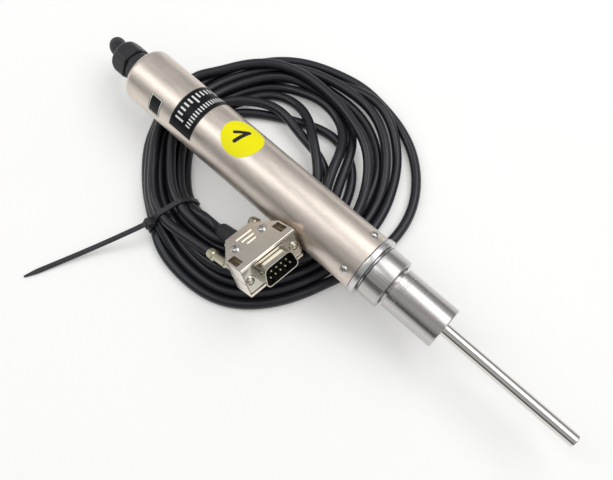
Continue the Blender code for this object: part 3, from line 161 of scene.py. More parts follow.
class ProbeColours(bpy.types.PropertyGroup):
    """Colours of the probe's finishes."""

    housing: colour_property("Housing", "Champagne nickel of the housing tube", (0.69, 0.62, 0.555))
    aluminium: colour_property("Aluminium", "Turned aluminium of the stem", (0.54, 0.515, 0.51))
    collar: colour_property("Collar", "Turned aluminium of the collar", (0.53, 0.515, 0.505))
    bright_ring: colour_property("Bright ring", "Light aluminium of the flange's edge", (0.67, 0.66, 0.66))
    spindle_steel: colour_property("Spindle", "Ground steel of the spindle", (0.72, 0.69, 0.66))
    screw_steel: colour_property("Screws", "Plated steel of screws and brackets", (0.60, 0.59, 0.58))
    plug_nickel: colour_property("Plug nickel", "Nickel of the die-cast plug", (0.82, 0.765, 0.69))
    yellow_zinc: colour_property("Yellow zinc", "Passivated zinc of the jackscrews", (0.62, 0.60, 0.47))
    shell_nickel: colour_property("Shell nickel", "Nickel of the mating shell", (0.56, 0.545, 0.48))
    gold: colour_property("Contacts", "Gold plate of the contact pins", (0.86, 0.76, 0.56))
    brass: colour_property("Brass", "Brass of the carriage and the spring seat", (0.70, 0.52, 0.22))
    bronze: colour_property("Bronze", "Bronze of the spindle's bushes", (0.55, 0.35, 0.17))
    cord: colour_property("Cord", "Blue-black vinyl of the cord", (0.010, 0.0105, 0.016))
    rubber: colour_property("Rubber", "Black rubber of boot and sleeve", (0.015, 0.015, 0.018))
    nylon: colour_property("Nylon", "Black nylon of gland and cable tie", (0.018, 0.018, 0.021))
    sticker: colour_property("Sticker", "Yellow of the inspection sticker", (1.0, 0.93, 0.0))
    print_black: colour_property("Print black", "Black of the printed band and label", (0.005, 0.005, 0.007))
    print_white: colour_property("Print white", "White of the printed graduations", (0.80, 0.80, 0.80))
    board: colour_property("Board", "Green lacquer of the circuit board", (0.015, 0.120, 0.045))


class StageSettings(bpy.types.PropertyGroup):
    """The floor, the lamps and the camera."""

    floor_colour: colour_property("Floor", "Colour of the floor", (0.88, 0.88, 0.87))
    floor_size: number_property("Floor size", "Side of the square floor", 6.0)
    world_strength: number_property("World strength", "Strength of the even light all round", 0.45, "NONE")
    key_power: number_property("Key lamp", "Power of the large lamp above", 6.8, "POWER")
    strip_power: number_property("Strip lamp", "Power of the narrow lamp beside the housing", 2.6, "POWER")
    lens: number_property("Lens", "Focal length of the camera in millimetres", 640.0 / 613.0 * 36.0, "NONE")


# Materials


class Wire:
    """A socket of a recipe's tree. Arithmetic on it adds Math nodes."""

    def __init__(self, recipe, socket):
        self.recipe = recipe
        self.socket = socket

    def combine(self, operation, first, second):
        return self.recipe.node("ShaderNodeMath", {"operation": operation}, {0: first, 1: second})

    def __add__(self, other):
        return self.combine("ADD", self, other)

    __radd__ = __add__

    def __sub__(self, other):
        return self.combine("SUBTRACT", self, other)

    def __rsub__(self, other):
        return self.combine("SUBTRACT", other, self)

    def __mul__(self, other):
        return self.combine("MULTIPLY", self, other)

    __rmul__ = __mul__

    def __truediv__(self, other):
        return self.combine("DIVIDE", self, other)

    def __rtruediv__(self, other):
        return self.combine("DIVIDE", other, self)

    def __pow__(self, other):
        return self.combine("POWER", self, other)

    def __gt__(self, other):
        return self.combine("GREATER_THAN", self, other)

    def __lt__(self, other):
        return self.combine("LESS_THAN", self, other)

    def __abs__(self):
        return self.combine("ABSOLUTE", self, 0.0)

    def part(self):
        """What is left after the whole number, for a pattern that repeats."""
        return self.combine("FRACT", self, 0.0)

    def off_middle(self):
        """How far a place lies from the middle of its repeat, from 0 to 0.5."""
        return abs(self.part() - 0.5)

    def limited(self):
        return self.combine("MINIMUM", self.combine("MAXIMUM", self, 0.0), 1.0)

    def least(self, other):
        return self.combine("MINIMUM", self, other)

    def most(self, other):
        return self.combine("MAXIMUM", self, other)

    def step(self, edge, softness):
        """0 below the edge, 1 above it, with a soft passage."""
        return ((self - edge) / softness + 0.5).limited()


class Recipe:
    """Writes one procedural material."""

    def __init__(self, name, colour, roughness, metallic=0.0, specular=0.5):
        self.material = bpy.data.materials.new(name)
        self.material.use_nodes = True
        self.tree = self.material.node_tree
        self.shader = self.tree.nodes["Principled BSDF"]
        self.material.diffuse_color = (*colour, 1.0)
        self.fix("Base Color", (*colour, 1.0))
        self.fix("Roughness", roughness)
        self.fix("Metallic", metallic)
        self.fix("Specular IOR Level", specular)

    def fix(self, socket_name, value):
        self.shader.inputs[socket_name].default_value = value

    def feed(self, socket_name, wire):
        self.tree.links.new(wire.socket, self.shader.inputs[socket_name])

    def node(self, kind, settings=None, values=None, output=0):
        made = self.tree.nodes.new(kind)
        for name, value in (settings or {}).items():
            if name == "stops":
                ramp = made.color_ramp.elements
                while len(ramp) < len(value):
                    ramp.new(1.0)
                for element, (place, colour) in zip(ramp, value):
                    element.position = place
                    element.color = colour
            else:
                setattr(made, name, value)
        for name, value in (values or {}).items():
            if isinstance(value, Wire):
                self.tree.links.new(value.socket, made.inputs[name])
            else:
                made.inputs[name].default_value = value
        return Wire(self, made.outputs[output])

    def place(self):
        return self.node("ShaderNodeTexCoord", output="Object")

    def map_place(self, name):
        return self.node("ShaderNodeUVMap", {"uv_map": name})

    def stretched(self, place, scale):
        return self.node("ShaderNodeMapping", values={"Vector": place, "Scale": scale})

    def noise(self, place, scale, detail=3.0, roughness=0.55):
        values = {"Vector": place, "Scale": scale, "Detail": detail, "Roughness": roughness}
        return self.node("ShaderNodeTexNoise", values=values)

    def axis(self, place, index):
        return self.node("ShaderNodeSeparateXYZ", values={0: place}, output=index)

    def mix(self, share, first, second):
        """A colour between two; each is a wire or three numbers."""
        first = first if isinstance(first, Wire) else (*first, 1.0)
        second = second if isinstance(second, Wire) else (*second, 1.0)
        return self.node("ShaderNodeMix", {"data_type": "RGBA"}, {0: share, 6: first, 7: second}, 2)

    def bump(self, height, strength, distance=0.00003):
        values = {"Strength": strength, "Distance": distance, "Height": height}
        self.feed("Normal", self.node("ShaderNodeBump", values=values))


def shade(colour, factor):
    return tuple(min(1.0, max(0.0, channel * factor)) for channel in colour)


def turned_metal(name, colour, roughness, line_scale, line_strength, painted_reflection, ahead=None):
    """Metal with the fine rings that a lathe tool leaves across the X axis, and painted reflection stripes
    along it.

    Where a second colour is given, it takes over ahead of the flange, with painted shade darkening the groove
    between them.
    """
    recipe = Recipe(name, colour, roughness, 1.0)
    place = recipe.place()
    rings = recipe.noise(recipe.stretched(place, (line_scale, 6.0, 6.0)), 1.0, 4.0, 0.7)
    # Streaks along the axis: painted reflection stripes of the lamps and dark cards, four times stronger
    # ahead of the flange.
    streaks = recipe.noise(recipe.stretched(place, (9.0, 950.0, 950.0)), 1.0, 3.0, 0.65)
    share = streaks.step(0.5, 0.34)
    tone = recipe.mix(share, shade(colour, 1 - painted_reflection), shade(colour, 1 + painted_reflection))
    if ahead is not None:
        front = recipe.mix(share, shade(ahead, 1 - 4 * painted_reflection), shade(ahead, 1 + 4 * painted_reflection))
        station = recipe.axis(place, 0)
        tone = recipe.mix(station > FLANGE_FRONT, tone, front)
        # Painted shade: the groove in front of the flange is darkened to stand in for the shadow in it.
        groove = (station > FLANGE_FRONT - 0.02 * MM) * (station < FLANGE_FRONT + 0.82 * MM)
        tone = recipe.mix(groove, tone, shade(ahead, 0.22))
    recipe.feed("Base Color", tone)
    recipe.feed("Roughness", roughness + (rings - 0.5) * 0.16 + (streaks - 0.5) * 0.12)
    recipe.bump(rings, line_strength, 0.00004)
    return recipe.material


def satin_metal(name, colour, roughness, grain_scale, grain_strength, spread=0.08, warm=1.0, brushed=0.0):
    """Plated or cast metal with a fine grain, a soft cloudiness and, when brushed, faint streaks along X."""
    recipe = Recipe(name, colour, roughness, 1.0)
    place = recipe.place()
    grain = recipe.noise(place, grain_scale, 4.0, 0.65)
    cloud = recipe.noise(place, 38.0, 4.0, 0.6)
    dark = (colour[0] * (1 - spread), colour[1] * (1 - spread) * warm, colour[2] * (1 - spread) * warm)
    tone = recipe.mix(cloud, dark, shade(colour, 1 + spread))
    matt = roughness + (grain - 0.5) * 0.12 + (cloud - 0.5) * 0.10
    if brushed:
        streaks = recipe.noise(recipe.stretched(place, (110.0, 520.0, 520.0)), 1.0, 5.0, 0.8)
        tone = recipe.mix(streaks.step(0.50, 0.30) * brushed, tone, shade(colour, 1.28))
        matt = matt + (streaks - 0.5) * (0.25 * brushed)
    recipe.feed("Base Color", tone)
    recipe.feed("Roughness", matt)
    recipe.bump(grain, grain_strength)
    return recipe.material


def moulded(name, colour, roughness, grain_scale=1400.0, grain_strength=0.25, specular=0.5):
    """Moulded plastic or rubber with a fine leathery grain and a little dust."""
    recipe = Recipe(name, colour, roughness, specular=specular)
    place = recipe.place()
    grain = recipe.noise(place, grain_scale, 3.0, 0.6)
    cloud = recipe.noise(place, 60.0, 4.0, 0.6)
    recipe.feed("Base Color", recipe.mix(cloud, shade(colour, 0.75), shade(colour, 1.5)))
    recipe.feed("Roughness", roughness + (cloud - 0.5) * 0.16 + (grain - 0.5) * 0.06)
    recipe.bump(grain, grain_strength)
    return recipe.material


def printed_band(name, black, white):
    """Black film whose white graduations run round the housing, on the band's own map in millimetres."""
    recipe = Recipe(name, black, 0.40, 0.0, specular=0.18)
    place = recipe.map_place("Band")
    across = recipe.axis(place, 0)
    along = recipe.axis(place, 1)
    tick = 1 - (along / 2.4).off_middle().step(0.20, 0.06)
    long_tick = 1 - (along / 12.0).off_middle().step(0.1, 0.01)
    reach = 5.2 + long_tick * 1.9
    coarse = tick * across.step(2.1, 0.12) * (1 - across.step(reach, 0.12))
    fine_tick = 1 - (along / 1.6).off_middle().step(0.22, 0.08)
    fine = fine_tick * across.step(9.0, 0.12) * (1 - across.step(11.6, 0.12))
    print_mask = (coarse.most(fine) * along.step(4.6, 0.1)).limited()
    edge = (1 - across.step(0.35, 0.1)).most(across.step(13.65, 0.1)).most(1 - along.step(0.35, 0.1))
    grain = recipe.noise(recipe.place(), 900.0, 3.0)
    film = recipe.mix(grain, shade(black, 0.7), shade(black, 1.5))
    edged = recipe.mix(edge * 0.25, film, (0.30, 0.29, 0.27))
    recipe.feed("Base Color", recipe.mix(print_mask, edged, white))
    recipe.feed("Roughness", 0.36 + grain * 0.08 + print_mask * 0.12)
    recipe.bump(grain, 0.15)
    return recipe.material


def bordered_label(name, dark, border, width, height):
    """Dark film with a thin pale border, on the label's own map in millimetres."""
    recipe = Recipe(name, dark, 0.38, 0.0, specular=0.18)
    place = recipe.map_place("Label")
    across = abs(recipe.axis(place, 0) - width / 2)
    along = abs(recipe.axis(place, 1) - height / 2)
    edge_gap = (width / 2 - across).least(height / 2 - along)
    line = edge_gap.step(0.22, 0.08) * (1 - edge_gap.step(0.72, 0.08))
    grain = recipe.noise(recipe.place(), 900.0, 3.0)
    film = recipe.mix(grain, shade(dark, 0.7), shade(dark, 1.6))
    recipe.feed("Base Color", recipe.mix(line, film, border))
    recipe.feed("Roughness", 0.32 + grain * 0.10)
    recipe.bump(grain, 0.15)
    return recipe.material


def tick_sticker(name, yellow, ink):
    """Yellow paper sticker with a hand-printed tick, on the sticker's own map in millimetres."""
    recipe = Recipe(name, yellow, 0.48, 0.0, specular=0.2)
    place = recipe.map_place("Sticker")
    across = recipe.axis(place, 0)
    along = recipe.axis(place, 1)

    def stroke(start, end, half):
        run = (end[0] - start[0], end[1] - start[1])
        square = run[0] ** 2 + run[1] ** 2
        from_x = across - start[0]
        from_y = along - start[1]
        share = ((from_x * run[0] + from_y * run[1]) / square).limited()
        off_x = from_x - share * run[0]
        off_y = from_y - share * run[1]
        return 1 - ((off_x * off_x + off_y * off_y) ** 0.5).step(half, 0.10)

    long_stroke = stroke((-4.4, -0.7), (0.3, 4.0), 0.85)
    short_stroke = stroke((0.3, 4.0), (-1.2, -4.0), 0.95)
    ink_mask = long_stroke.most(short_stroke)
    paper = recipe.noise(recipe.place(), 700.0, 4.0, 0.6)
    cloud = recipe.noise(recipe.place(), 120.0, 2.0)
    base = recipe.mix(cloud, shade(yellow, 0.96), yellow)
    recipe.feed("Base Color", recipe.mix(ink_mask, base, ink))
    recipe.feed("Roughness", 0.46 + (paper - 0.5) * 0.12)
    recipe.bump(paper, 0.12)
    return recipe.material


def board_lacquer(name, green):
    """Green lacquer over copper tracks and plated holes."""
    recipe = Recipe(name, green, 0.35, 0.0)
    place = recipe.place()
    across = recipe.axis(place, 1)
    along = recipe.axis(place, 0)
    bend = recipe.noise(place, 160.0, 1.0)
    track = (across * 480.0 + bend * 0.9).off_middle().step(0.34, 0.10)
    holes_per_metre = 393.7
    hole = (along * holes_per_metre).off_middle().step(0.36, 0.06)
    hole = hole * (across * holes_per_metre).off_middle().step(0.36, 0.06)
    lacquer = recipe.mix(track, green, shade(green, 2.2))
    recipe.feed("Base Color", recipe.mix(hole, lacquer, (0.62, 0.55, 0.42)))
    recipe.feed("Roughness", 0.28 + track * 0.12)
    recipe.bump(track, 0.3)
    return recipe.material


def scale_finish(name, colour):
    """Dark alloy with the fine lines of a linear scale."""
    recipe = Recipe(name, colour, 0.30, 0.6)
    place = recipe.place()
    line = (recipe.axis(place, 0) * 1000.0).off_middle().step(0.36, 0.06)
    cloud = recipe.noise(place, 120.0, 3.0)
    film = recipe.mix(cloud, shade(colour, 0.8), shade(colour, 1.2))
    recipe.feed("Base Color", recipe.mix(line, film, shade(colour, 0.25)))
    recipe.feed("Roughness", 0.26 + cloud * 0.10)
    return recipe.material


def ground_steel_finish(name, colour):
    """Centreless-ground steel: nearly a mirror, with hair-fine marks round it."""
    recipe = Recipe(name, colour, 0.12, 1.0)
    place = recipe.place()
    hair = recipe.noise(recipe.stretched(place, (9000.0, 60.0, 60.0)), 1.0, 3.0, 0.7)
    cloud = recipe.noise(place, 70.0, 2.0)
    recipe.feed("Base Color", recipe.mix(cloud, shade(colour, 0.95), shade(colour, 1.06)))
    recipe.feed("Roughness", 0.085 + hair * 0.06)
    recipe.bump(hair, 0.06, 0.00002)
    return recipe.material


def vinyl_jacket(name, colour):
    """Satin vinyl of the cord, with faint extrusion marks and dust."""
    recipe = Recipe(name, colour, 0.42, 0.0)
    place = recipe.place()
    grain = recipe.noise(place, 1100.0, 3.0, 0.6)
    cloud = recipe.noise(place, 45.0, 3.0, 0.6)
    recipe.feed("Base Color", recipe.mix(cloud, shade(colour, 0.75), shade(colour, 1.45)))
    recipe.feed("Roughness", 0.27 + cloud * 0.12 + (grain - 0.5) * 0.05)
    recipe.bump(grain, 0.10)
    return recipe.material


def make_finishes():
    """All the finishes, by their slot names where they have one."""
    colours = bpy.context.scene.probe_colours
    recipes = (
        (satin_metal, "champagne_nickel", colours.housing, 0.41, 2600.0, 0.16, 0.08, 1.0, 0.60),
        # The last number of each turned metal is the strength of its painted reflection stripes.
        (turned_metal, "turned_aluminium", colours.aluminium, 0.26, 4200.0, 0.20, 0.16),
        (turned_metal, "bright_aluminium", colours.bright_ring, 0.30, 5200.0, 0.20, 0.06, colours.collar),
        (ground_steel_finish, "ground_steel", colours.spindle_steel),
        (satin_metal, "screw_steel", colours.screw_steel, 0.24, 1800.0, 0.10),
        (satin_metal, "bronze", colours.bronze, 0.40, 1500.0, 0.35, 0.15),
        (satin_metal, "brass", colours.brass, 0.28, 1500.0, 0.15),
        (satin_metal, "plug_nickel", colours.plug_nickel, 0.24, 1100.0, 0.03, 0.04, 0.98),
        (satin_metal, "shell_nickel", colours.shell_nickel, 0.17, 900.0, 0.10, 0.22, 0.96),
        (satin_metal, "yellow_zinc", colours.yellow_zinc, 0.30, 900.0, 0.30, 0.30, 0.95),
        (satin_metal, "gold_plate", colours.gold, 0.20, 1800.0, 0.08),
        (moulded, "black_nylon", colours.nylon, 0.46),
        (moulded, "insulator_black", (0.004, 0.004, 0.005), 0.55, 1400.0, 0.15, 0.15),
        (moulded, "black_rubber", colours.rubber, 0.58, 1700.0, 0.35),
        (vinyl_jacket, "cord_vinyl", colours.cord),
        (scale_finish, "scale_alloy", (0.35, 0.36, 0.38)),
        (board_lacquer, "board_green", colours.board),
        (moulded, "chip_black", (0.015, 0.015, 0.016), 0.50, 2200.0, 0.30),
        (printed_band, "printed_band", colours.print_black, colours.print_white),
        (bordered_label, "bordered_label", (0.012, 0.016, 0.014), (0.80, 0.82, 0.76), 7.4, 9.8),
        (tick_sticker, "tick_sticker", colours.sticker, (0.02, 0.02, 0.02)),
    )
    return {name: write(name, *values) for write, name, *values in recipes}


FINISHES = {}


def finish_named(name):
    if not FINISHES:
        FINISHES.update(make_finishes())
    return FINISHES[name]


# Shapes


def mm(*values):
    """Sizes given in millimetres, in metres."""
    return [value * MM for value in values]


def in_mm(points):
    """Points given in millimetres, in metres."""
    return [tuple(mm(*point)) for point in points]


def rectangle(low, high):
    """A rectangle's corners, counterclockwise from the low one."""
    return [(low[0], low[1]), (high[0], low[1]), (high[0], high[1]), (low[0], high[1])]


def mesh_of(bm, name):
    """Closes a bmesh off as a mesh whose faces point outwards."""
    bmesh.ops.remove_doubles(bm, verts=bm.verts, dist=1e-7)
    bmesh.ops.recalc_face_normals(bm, faces=bm.faces)
    mesh = bpy.data.meshes.new(name)
    bm.to_mesh(mesh)
    bm.free()
    return mesh


def eased(points, sizes, steps=3, closed=False):
    """A line of points whose corners are cut back by their sizes and joined by a curve."""
    result = []
    count = len(points)
    for index, point in enumerate(points):
        size = sizes[index] if isinstance(sizes, (list, tuple)) else sizes
        ends = not closed and index in (0, count - 1)
        if ends or size <= 0:
            result.append(tuple(point))
            continue
        corner = Vector(point)
        before = Vector(points[index - 1]) - corner
        after = Vector(points[(index + 1) % count]) - corner
        start = corner + before.normalized() * min(size, before.length * 0.48)
        end = corner + after.normalized() * min(size, after.length * 0.48)
        for step in range(steps + 1):
            t = step / steps
            result.append(tuple((1 - t) ** 2 * start + 2 * t * (1 - t) * corner + t * t * end))
    return result


def rounded_plate(low, high, corner, steps):
    """A plate's outline with rounded corners, given in millimetres."""
    return in_mm(eased(rectangle(low, high), corner, steps, True))


def bridge(bm, first, second):
    """Faces between two rings of vertices; a ring of one vertex closes as a cone."""
    count = max(len(first), len(second))
    for k in range(count):
        after = (k + 1) % count
        corners = [first[k % len(first)], first[after % len(first)]]
        corners += [second[after % len(second)], second[k % len(second)]]
        corners = list(dict.fromkeys(corners))
        if len(corners) > 2:
            bm.faces.new(corners)


def turned_mesh(name, profile, segments, closed=False):
    """A mesh turned about the X axis from (station, radius) pairs."""
    bm = bmesh.new()
    turn = 2 * math.pi / segments
    around = [(math.cos(k * turn), math.sin(k * turn)) for k in range(segments)]
    rings = []
    for station, radius in profile:
        spots = around if radius >= 1e-7 else [(0.0, 0.0)]
        rings.append([bm.verts.new((station, radius * y, radius * z)) for y, z in spots])
    for first, second in zip(rings, rings[1:]):
        bridge(bm, first, second)
    if closed:
        bridge(bm, rings[-1], rings[0])
    return mesh_of(bm, name)


def rod_mesh(name, start, end, radius, segments):
    """A plain bar along the X axis."""
    return turned_mesh(name, [(start, 0.0), (start, radius), (end, radius), (end, 0.0)], segments)


def swept_mesh(name, path, radii, sides=24):
    """A round bar with closed ends along a path, with one radius for each point."""
    points = [Vector(p) for p in path]
    bm = bmesh.new()
    rings = []
    ahead = (points[1] - points[0]).normalized()
    side = ahead.orthogonal().normalized()
    for index, point in enumerate(points):
        before = points[max(index - 1, 0)]
        after = points[min(index + 1, len(points) - 1)]
        heading = (after - before).normalized()
        side = (side - heading * side.dot(heading)).normalized()
        other = heading.cross(side)
        ring = []
        for k in range(sides):
            turn = 2 * math.pi * k / sides
            ring.append(bm.verts.new(point + radii[index] * (side * math.cos(turn) + other * math.sin(turn))))
        rings.append(ring)
    for first, second in zip(rings, rings[1:]):
        bridge(bm, first, second)
    bm.faces.new(rings[0])
    bm.faces.new(rings[-1])
    return mesh_of(bm, name)


def prism_mesh(name, outline, low, high, axis="z"):
    """A flat outline raised from one height to another, along z or along x."""
    bm = bmesh.new()
    lower = []
    upper = []
    for a, b in outline:
        for ring, height in ((lower, low), (upper, high)):
            ring.append(bm.verts.new((a, b, height) if axis == "z" else (height, a, b)))
    bridge(bm, lower, upper)
    bm.faces.new(lower)
    bm.faces.new(upper)
    return mesh_of(bm, name)


def block_mesh(name, low, high):
    """A block between two corners in millimetres."""
    low, high = in_mm((low, high))
    return prism_mesh(name, rectangle(low, high), low[2], high[2])


def moved(mesh, place, turn=Matrix.Identity(4)):
    """The mesh, turned about the origin and then moved to a place."""
    mesh.transform(Matrix.Translation(place) @ turn)
    return mesh


def helper(mesh, name="helper"):
    obj = bpy.data.objects.new(name, mesh)
    bpy.context.scene.collection.objects.link(obj)
    return obj


def cut(mesh, cutters, operation="DIFFERENCE", edge=0.0, edge_steps=2):
    """The mesh after Booleans with the cutter meshes, its sharp edges rounded first by a Bevel."""
    target = helper(mesh)
    tools = []
    if edge:
        bevel = target.modifiers.new("Edge", "BEVEL")
        bevel.width = edge
        bevel.segments = edge_steps
        bevel.limit_method = "ANGLE"
        bevel.angle_limit = math.radians(30)
        bevel.use_clamp_overlap = True
    for cutter in cutters:
        tool = helper(cutter)
        boolean = target.modifiers.new("Cut", "BOOLEAN")
        boolean.operation = operation
        boolean.solver = "EXACT"
        boolean.object = tool
        tools.append(tool)
    made = evaluated_mesh(target, mesh.name)
    for obj in (target, *tools):
        bpy.data.objects.remove(obj, do_unlink=True)
    return made


def evaluated_mesh(obj, name):
    """The object's shape after its modifiers, as a plain mesh."""
    bpy.context.view_layer.update()
    graph = bpy.context.evaluated_depsgraph_get()
    made = bpy.data.meshes.new_from_object(obj.evaluated_get(graph))
    made.name = name
    return made


def joined(name, meshes):
    """Several closed bodies in one mesh."""
    bm = bmesh.new()
    for mesh in meshes:
        bm.from_mesh(mesh)
    made = bpy.data.meshes.new(name)
    bm.to_mesh(made)
    bm.free()
    return made


def place_piece(name, mesh, finish, body="probe", replaces=(), sharp=32.0):
    """Links a finished mesh as a piece, with its finish as its one material."""
    mesh.materials.clear()
    mesh.materials.append(finish_named(finish))
    for polygon in mesh.polygons:
        polygon.material_index = 0
    mesh.shade_smooth()
    mesh.set_sharp_from_angle(angle=math.radians(sharp))
    mesh.name = name
    obj = helper(mesh, name)
    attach(obj, body)
    if replaces:
        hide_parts(*replaces)
    return obj


def on_plug(mesh):
    mesh.transform(PLUG_FRAME)
    return mesh


# Geometry Nodes


class Grower:
    """Writes one Geometry Nodes tree with named inputs, and grows its result as a plain mesh."""

    def __init__(self, name):
        self.tree = bpy.data.node_groups.new(name, "GeometryNodeTree")
        self.tree.is_modifier = True
        self.tree.interface.new_socket("Geometry", in_out="INPUT", socket_type="NodeSocketGeometry")
        self.tree.interface.new_socket("Geometry", in_out="OUTPUT", socket_type="NodeSocketGeometry")
        self.entry = self.tree.nodes.new("NodeGroupInput")
        self.exit = self.tree.nodes.new("NodeGroupOutput")
        self.given = {}

    def input(self, name, kind, value):
        socket = self.tree.interface.new_socket(name, in_out="INPUT", socket_type=kind)
        self.given[socket.identifier] = value
        return self.entry.outputs[name]

    def node(self, kind, settings=None, values=None, output=0):
        made = self.tree.nodes.new(kind)
        for name, value in (settings or {}).items():
            setattr(made, name, value)
        for name, value in (values or {}).items():
            if isinstance(value, bpy.types.NodeSocket):
                self.tree.links.new(value, made.inputs[name])
            else:
                made.inputs[name].default_value = value
        return made.outputs[output]

    def maths(self, operation, first, second=0.0):
        return self.node("ShaderNodeMath", {"operation": operation}, {0: first, 1: second})

    def finish(self, geometry, material):
        whole = self.node("GeometryNodeRealizeInstances", values={"Geometry": geometry})
        dressed = self.node("GeometryNodeSetMaterial", values={"Geometry": whole, "Material": material})
        self.tree.links.new(dressed, self.exit.inputs[0])

    def grow(self, name, seed_mesh=None):
        """The tree's result as a plain mesh; the modifier and its object are removed."""
        obj = helper(seed_mesh or bpy.data.meshes.new(name), name + "_grower")
        modifier = obj.modifiers.new("Grower", "NODES")
        modifier.node_group = self.tree
        for identifier, value in self.given.items():
            modifier[identifier] = value
        made = evaluated_mesh(obj, name)
        obj.modifiers.remove(modifier)
        bpy.data.objects.remove(obj, do_unlink=True)
        return made

    def grow_copies(self, name, source, points, finish, seed_mesh=None, **values):
        """Copies of a source mesh on the tree's points, as a plain mesh."""
        source_object = helper(source, name + "_source")
        piece = self.input("Piece", "NodeSocketObject", source_object)
        info = self.node("GeometryNodeObjectInfo", values={"Object": piece}, output="Geometry")
        values = {"Points": points, "Instance": info, **values}
        self.finish(self.node("GeometryNodeInstanceOnPoints", values=values), finish_named(finish))
        made = self.grow(name, seed_mesh)
        bpy.data.objects.remove(source_object, do_unlink=True)
        return made


def round_the_axis(name, source, count, first_angle, finish):
    """Copies of a source mesh set round the X axis at even angles."""
    grower = Grower(name)
    number = grower.input("Count", "NodeSocketInt", count)
    start = grower.input("First angle", "NodeSocketFloat", first_angle)
    points = grower.node("GeometryNodePoints", values={"Count": number})
    share = grower.maths("DIVIDE", grower.node("GeometryNodeInputIndex"), number)
    turn = grower.maths("ADD", grower.maths("MULTIPLY", share, 2 * math.pi), start)
    angle = grower.node("ShaderNodeCombineXYZ", values={0: turn})
    rotation = grower.node("FunctionNodeEulerToRotation", values={0: angle})
    return grower.grow_copies(name, source, points, finish, Rotation=rotation)


def at_places(name, source, places, finish):
    """Copies of a source mesh set at the given points."""
    grower = Grower(name)
    size = grower.input("Size", "NodeSocketFloat", 1.0)
    points = grower.node("GeometryNodeMeshToPoints", values={"Mesh": grower.entry.outputs[0]})
    seeds = bpy.data.meshes.new(name + "_places")
    seeds.from_pydata(places, [], [])
    return grower.grow_copies(name, source, points, finish, seeds, Scale=size)


def along_line(name, source, start, step, count, finish):
    """Copies of a source mesh in a row from a start point."""
    grower = Grower(name)
    number = grower.input("Count", "NodeSocketInt", count)
    first = grower.input("Start", "NodeSocketVector", start)
    pitch = grower.input("Pitch", "NodeSocketVector", step)
    values = {"Count": number, "Start Location": first, "Offset": pitch}
    line = grower.node("GeometryNodeMeshLine", values=values)
    return grower.grow_copies(name, source, line, finish)


# Stage


class PROBE_OT_stage(bpy.types.Operator):
    """Sets up the floor, the lamps, the world and the camera"""

    bl_idname = "probe.stage"
    bl_label = "Stage"

    def execute(self, context):
        stage = context.scene.probe_stage
        self.add_camera(context, stage)
        self.add_floor(stage)
        self.add_world(context, stage)
        self.add_lamp("key_lamp", (0.10, 0.50, 1.10), (-0.13, 0.0, 0.0), (1.30, 0.80), stage.key_power)
        self.add_lamp("strip_lamp", (-0.75, -0.30, 0.85), (-0.14, 0.0, 0.0), (0.30, 1.10), stage.strip_power)
        self.add_flag("left_flag", (-0.10, -1.00, 0.30), (2.4, 0.36))
        self.add_flag("right_flag", (-0.10, 1.30, 0.16), (2.4, 0.22))
        context.scene.view_settings.view_transform = "Standard"
        return {"FINISHED"}

    def add_camera(self, context, stage):
        data = bpy.data.cameras.new("camera")
        data.lens = stage.lens
        data.sensor_width = 36.0
        data.sensor_fit = "HORIZONTAL"
        data.clip_start = 0.01
        camera = bpy.data.objects.new("camera", data)
        context.scene.collection.objects.link(camera)
        right = Vector((0.7329, 0.6803, 0.0))
        up = Vector((-0.6386, 0.6880, 0.3447))
        back = Vector((0.2345, -0.2527, 0.9387))
        turn = Matrix((right, up, back)).transposed().to_4x4()
        camera.matrix_world = Matrix.Translation((-0.07006, -0.08215, 0.26712)) @ turn
        context.scene.camera = camera

    def add_card(self, name, corners, recipe, seen=True):
        """A flat card that the light and the metal see, and the camera too unless told otherwise."""
        mesh = bpy.data.meshes.new(name)
        mesh.from_pydata(corners, [], [(0, 1, 2, 3)])
        mesh.materials.append(recipe.material)
        card = helper(mesh, name)
        card.visible_camera = seen

    def add_floor(self, stage):
        colour = stage.floor_colour
        recipe = Recipe("floor_paper", colour, 0.9, specular=0.0)
        paper = recipe.noise(recipe.place(), 14.0, 3.0)
        recipe.feed("Base Color", recipe.mix(paper, shade(colour, 0.99), shade(colour, 1.01)))
        rays = ("Is Camera Ray", "Is Glossy Ray", "Is Transmission Ray")
        camera, glossy, through = [recipe.node("ShaderNodeLightPath", output=ray) for ray in rays]
        seen = camera.most(glossy).most(through)
        recipe.feed("Emission Color", recipe.mix(seen, (0.0, 0.0, 0.0), (0.21, 0.21, 0.207)))
        recipe.fix("Emission Strength", 1.0)
        half = stage.floor_size / 2
        corners = rectangle((-half, -half), (half, half))
        self.add_card("floor", [(x, y, TABLE_Z - 0.02 * MM) for x, y in corners], recipe)

    def add_world(self, context, stage):
        world = bpy.data.worlds.new("studio")
        context.scene.world = world
        world.use_nodes = True
        background = world.node_tree.nodes["Background"]
        background.inputs["Color"].default_value = (1.0, 1.0, 1.0, 1.0)
        background.inputs["Strength"].default_value = stage.world_strength

    def add_flag(self, name, middle, size):
        """A standing black card that only the light and the metal see."""
        x, y, z = middle
        wide, tall = size[0] / 2, size[1] / 2
        recipe = Recipe(name + "_cloth", (0.02, 0.02, 0.02), 0.9, specular=0.1)
        weave = recipe.noise(recipe.place(), 30.0)
        recipe.feed("Base Color", recipe.mix(weave, (0.015, 0.015, 0.015), (0.03, 0.03, 0.03)))
        corners = rectangle((x - wide, z - tall), (x + wide, z + tall))
        self.add_card(name, [(a, y, b) for a, b in corners], recipe, seen=False)

    def add_lamp(self, name, place, aim, size, power):
        data = bpy.data.lights.new(name, "AREA")
        data.shape = "RECTANGLE"
        data.size = size[0]
        data.size_y = size[1]
        data.energy = power
        lamp = bpy.data.objects.new(name, data)
        bpy.context.scene.collection.objects.link(lamp)
        heading = (Vector(aim) - Vector(place)).normalized()
        lamp.location = place
        lamp.rotation_mode = "QUATERNION"
        lamp.rotation_quaternion = heading.to_track_quat("-Z", "Y")


# Cord

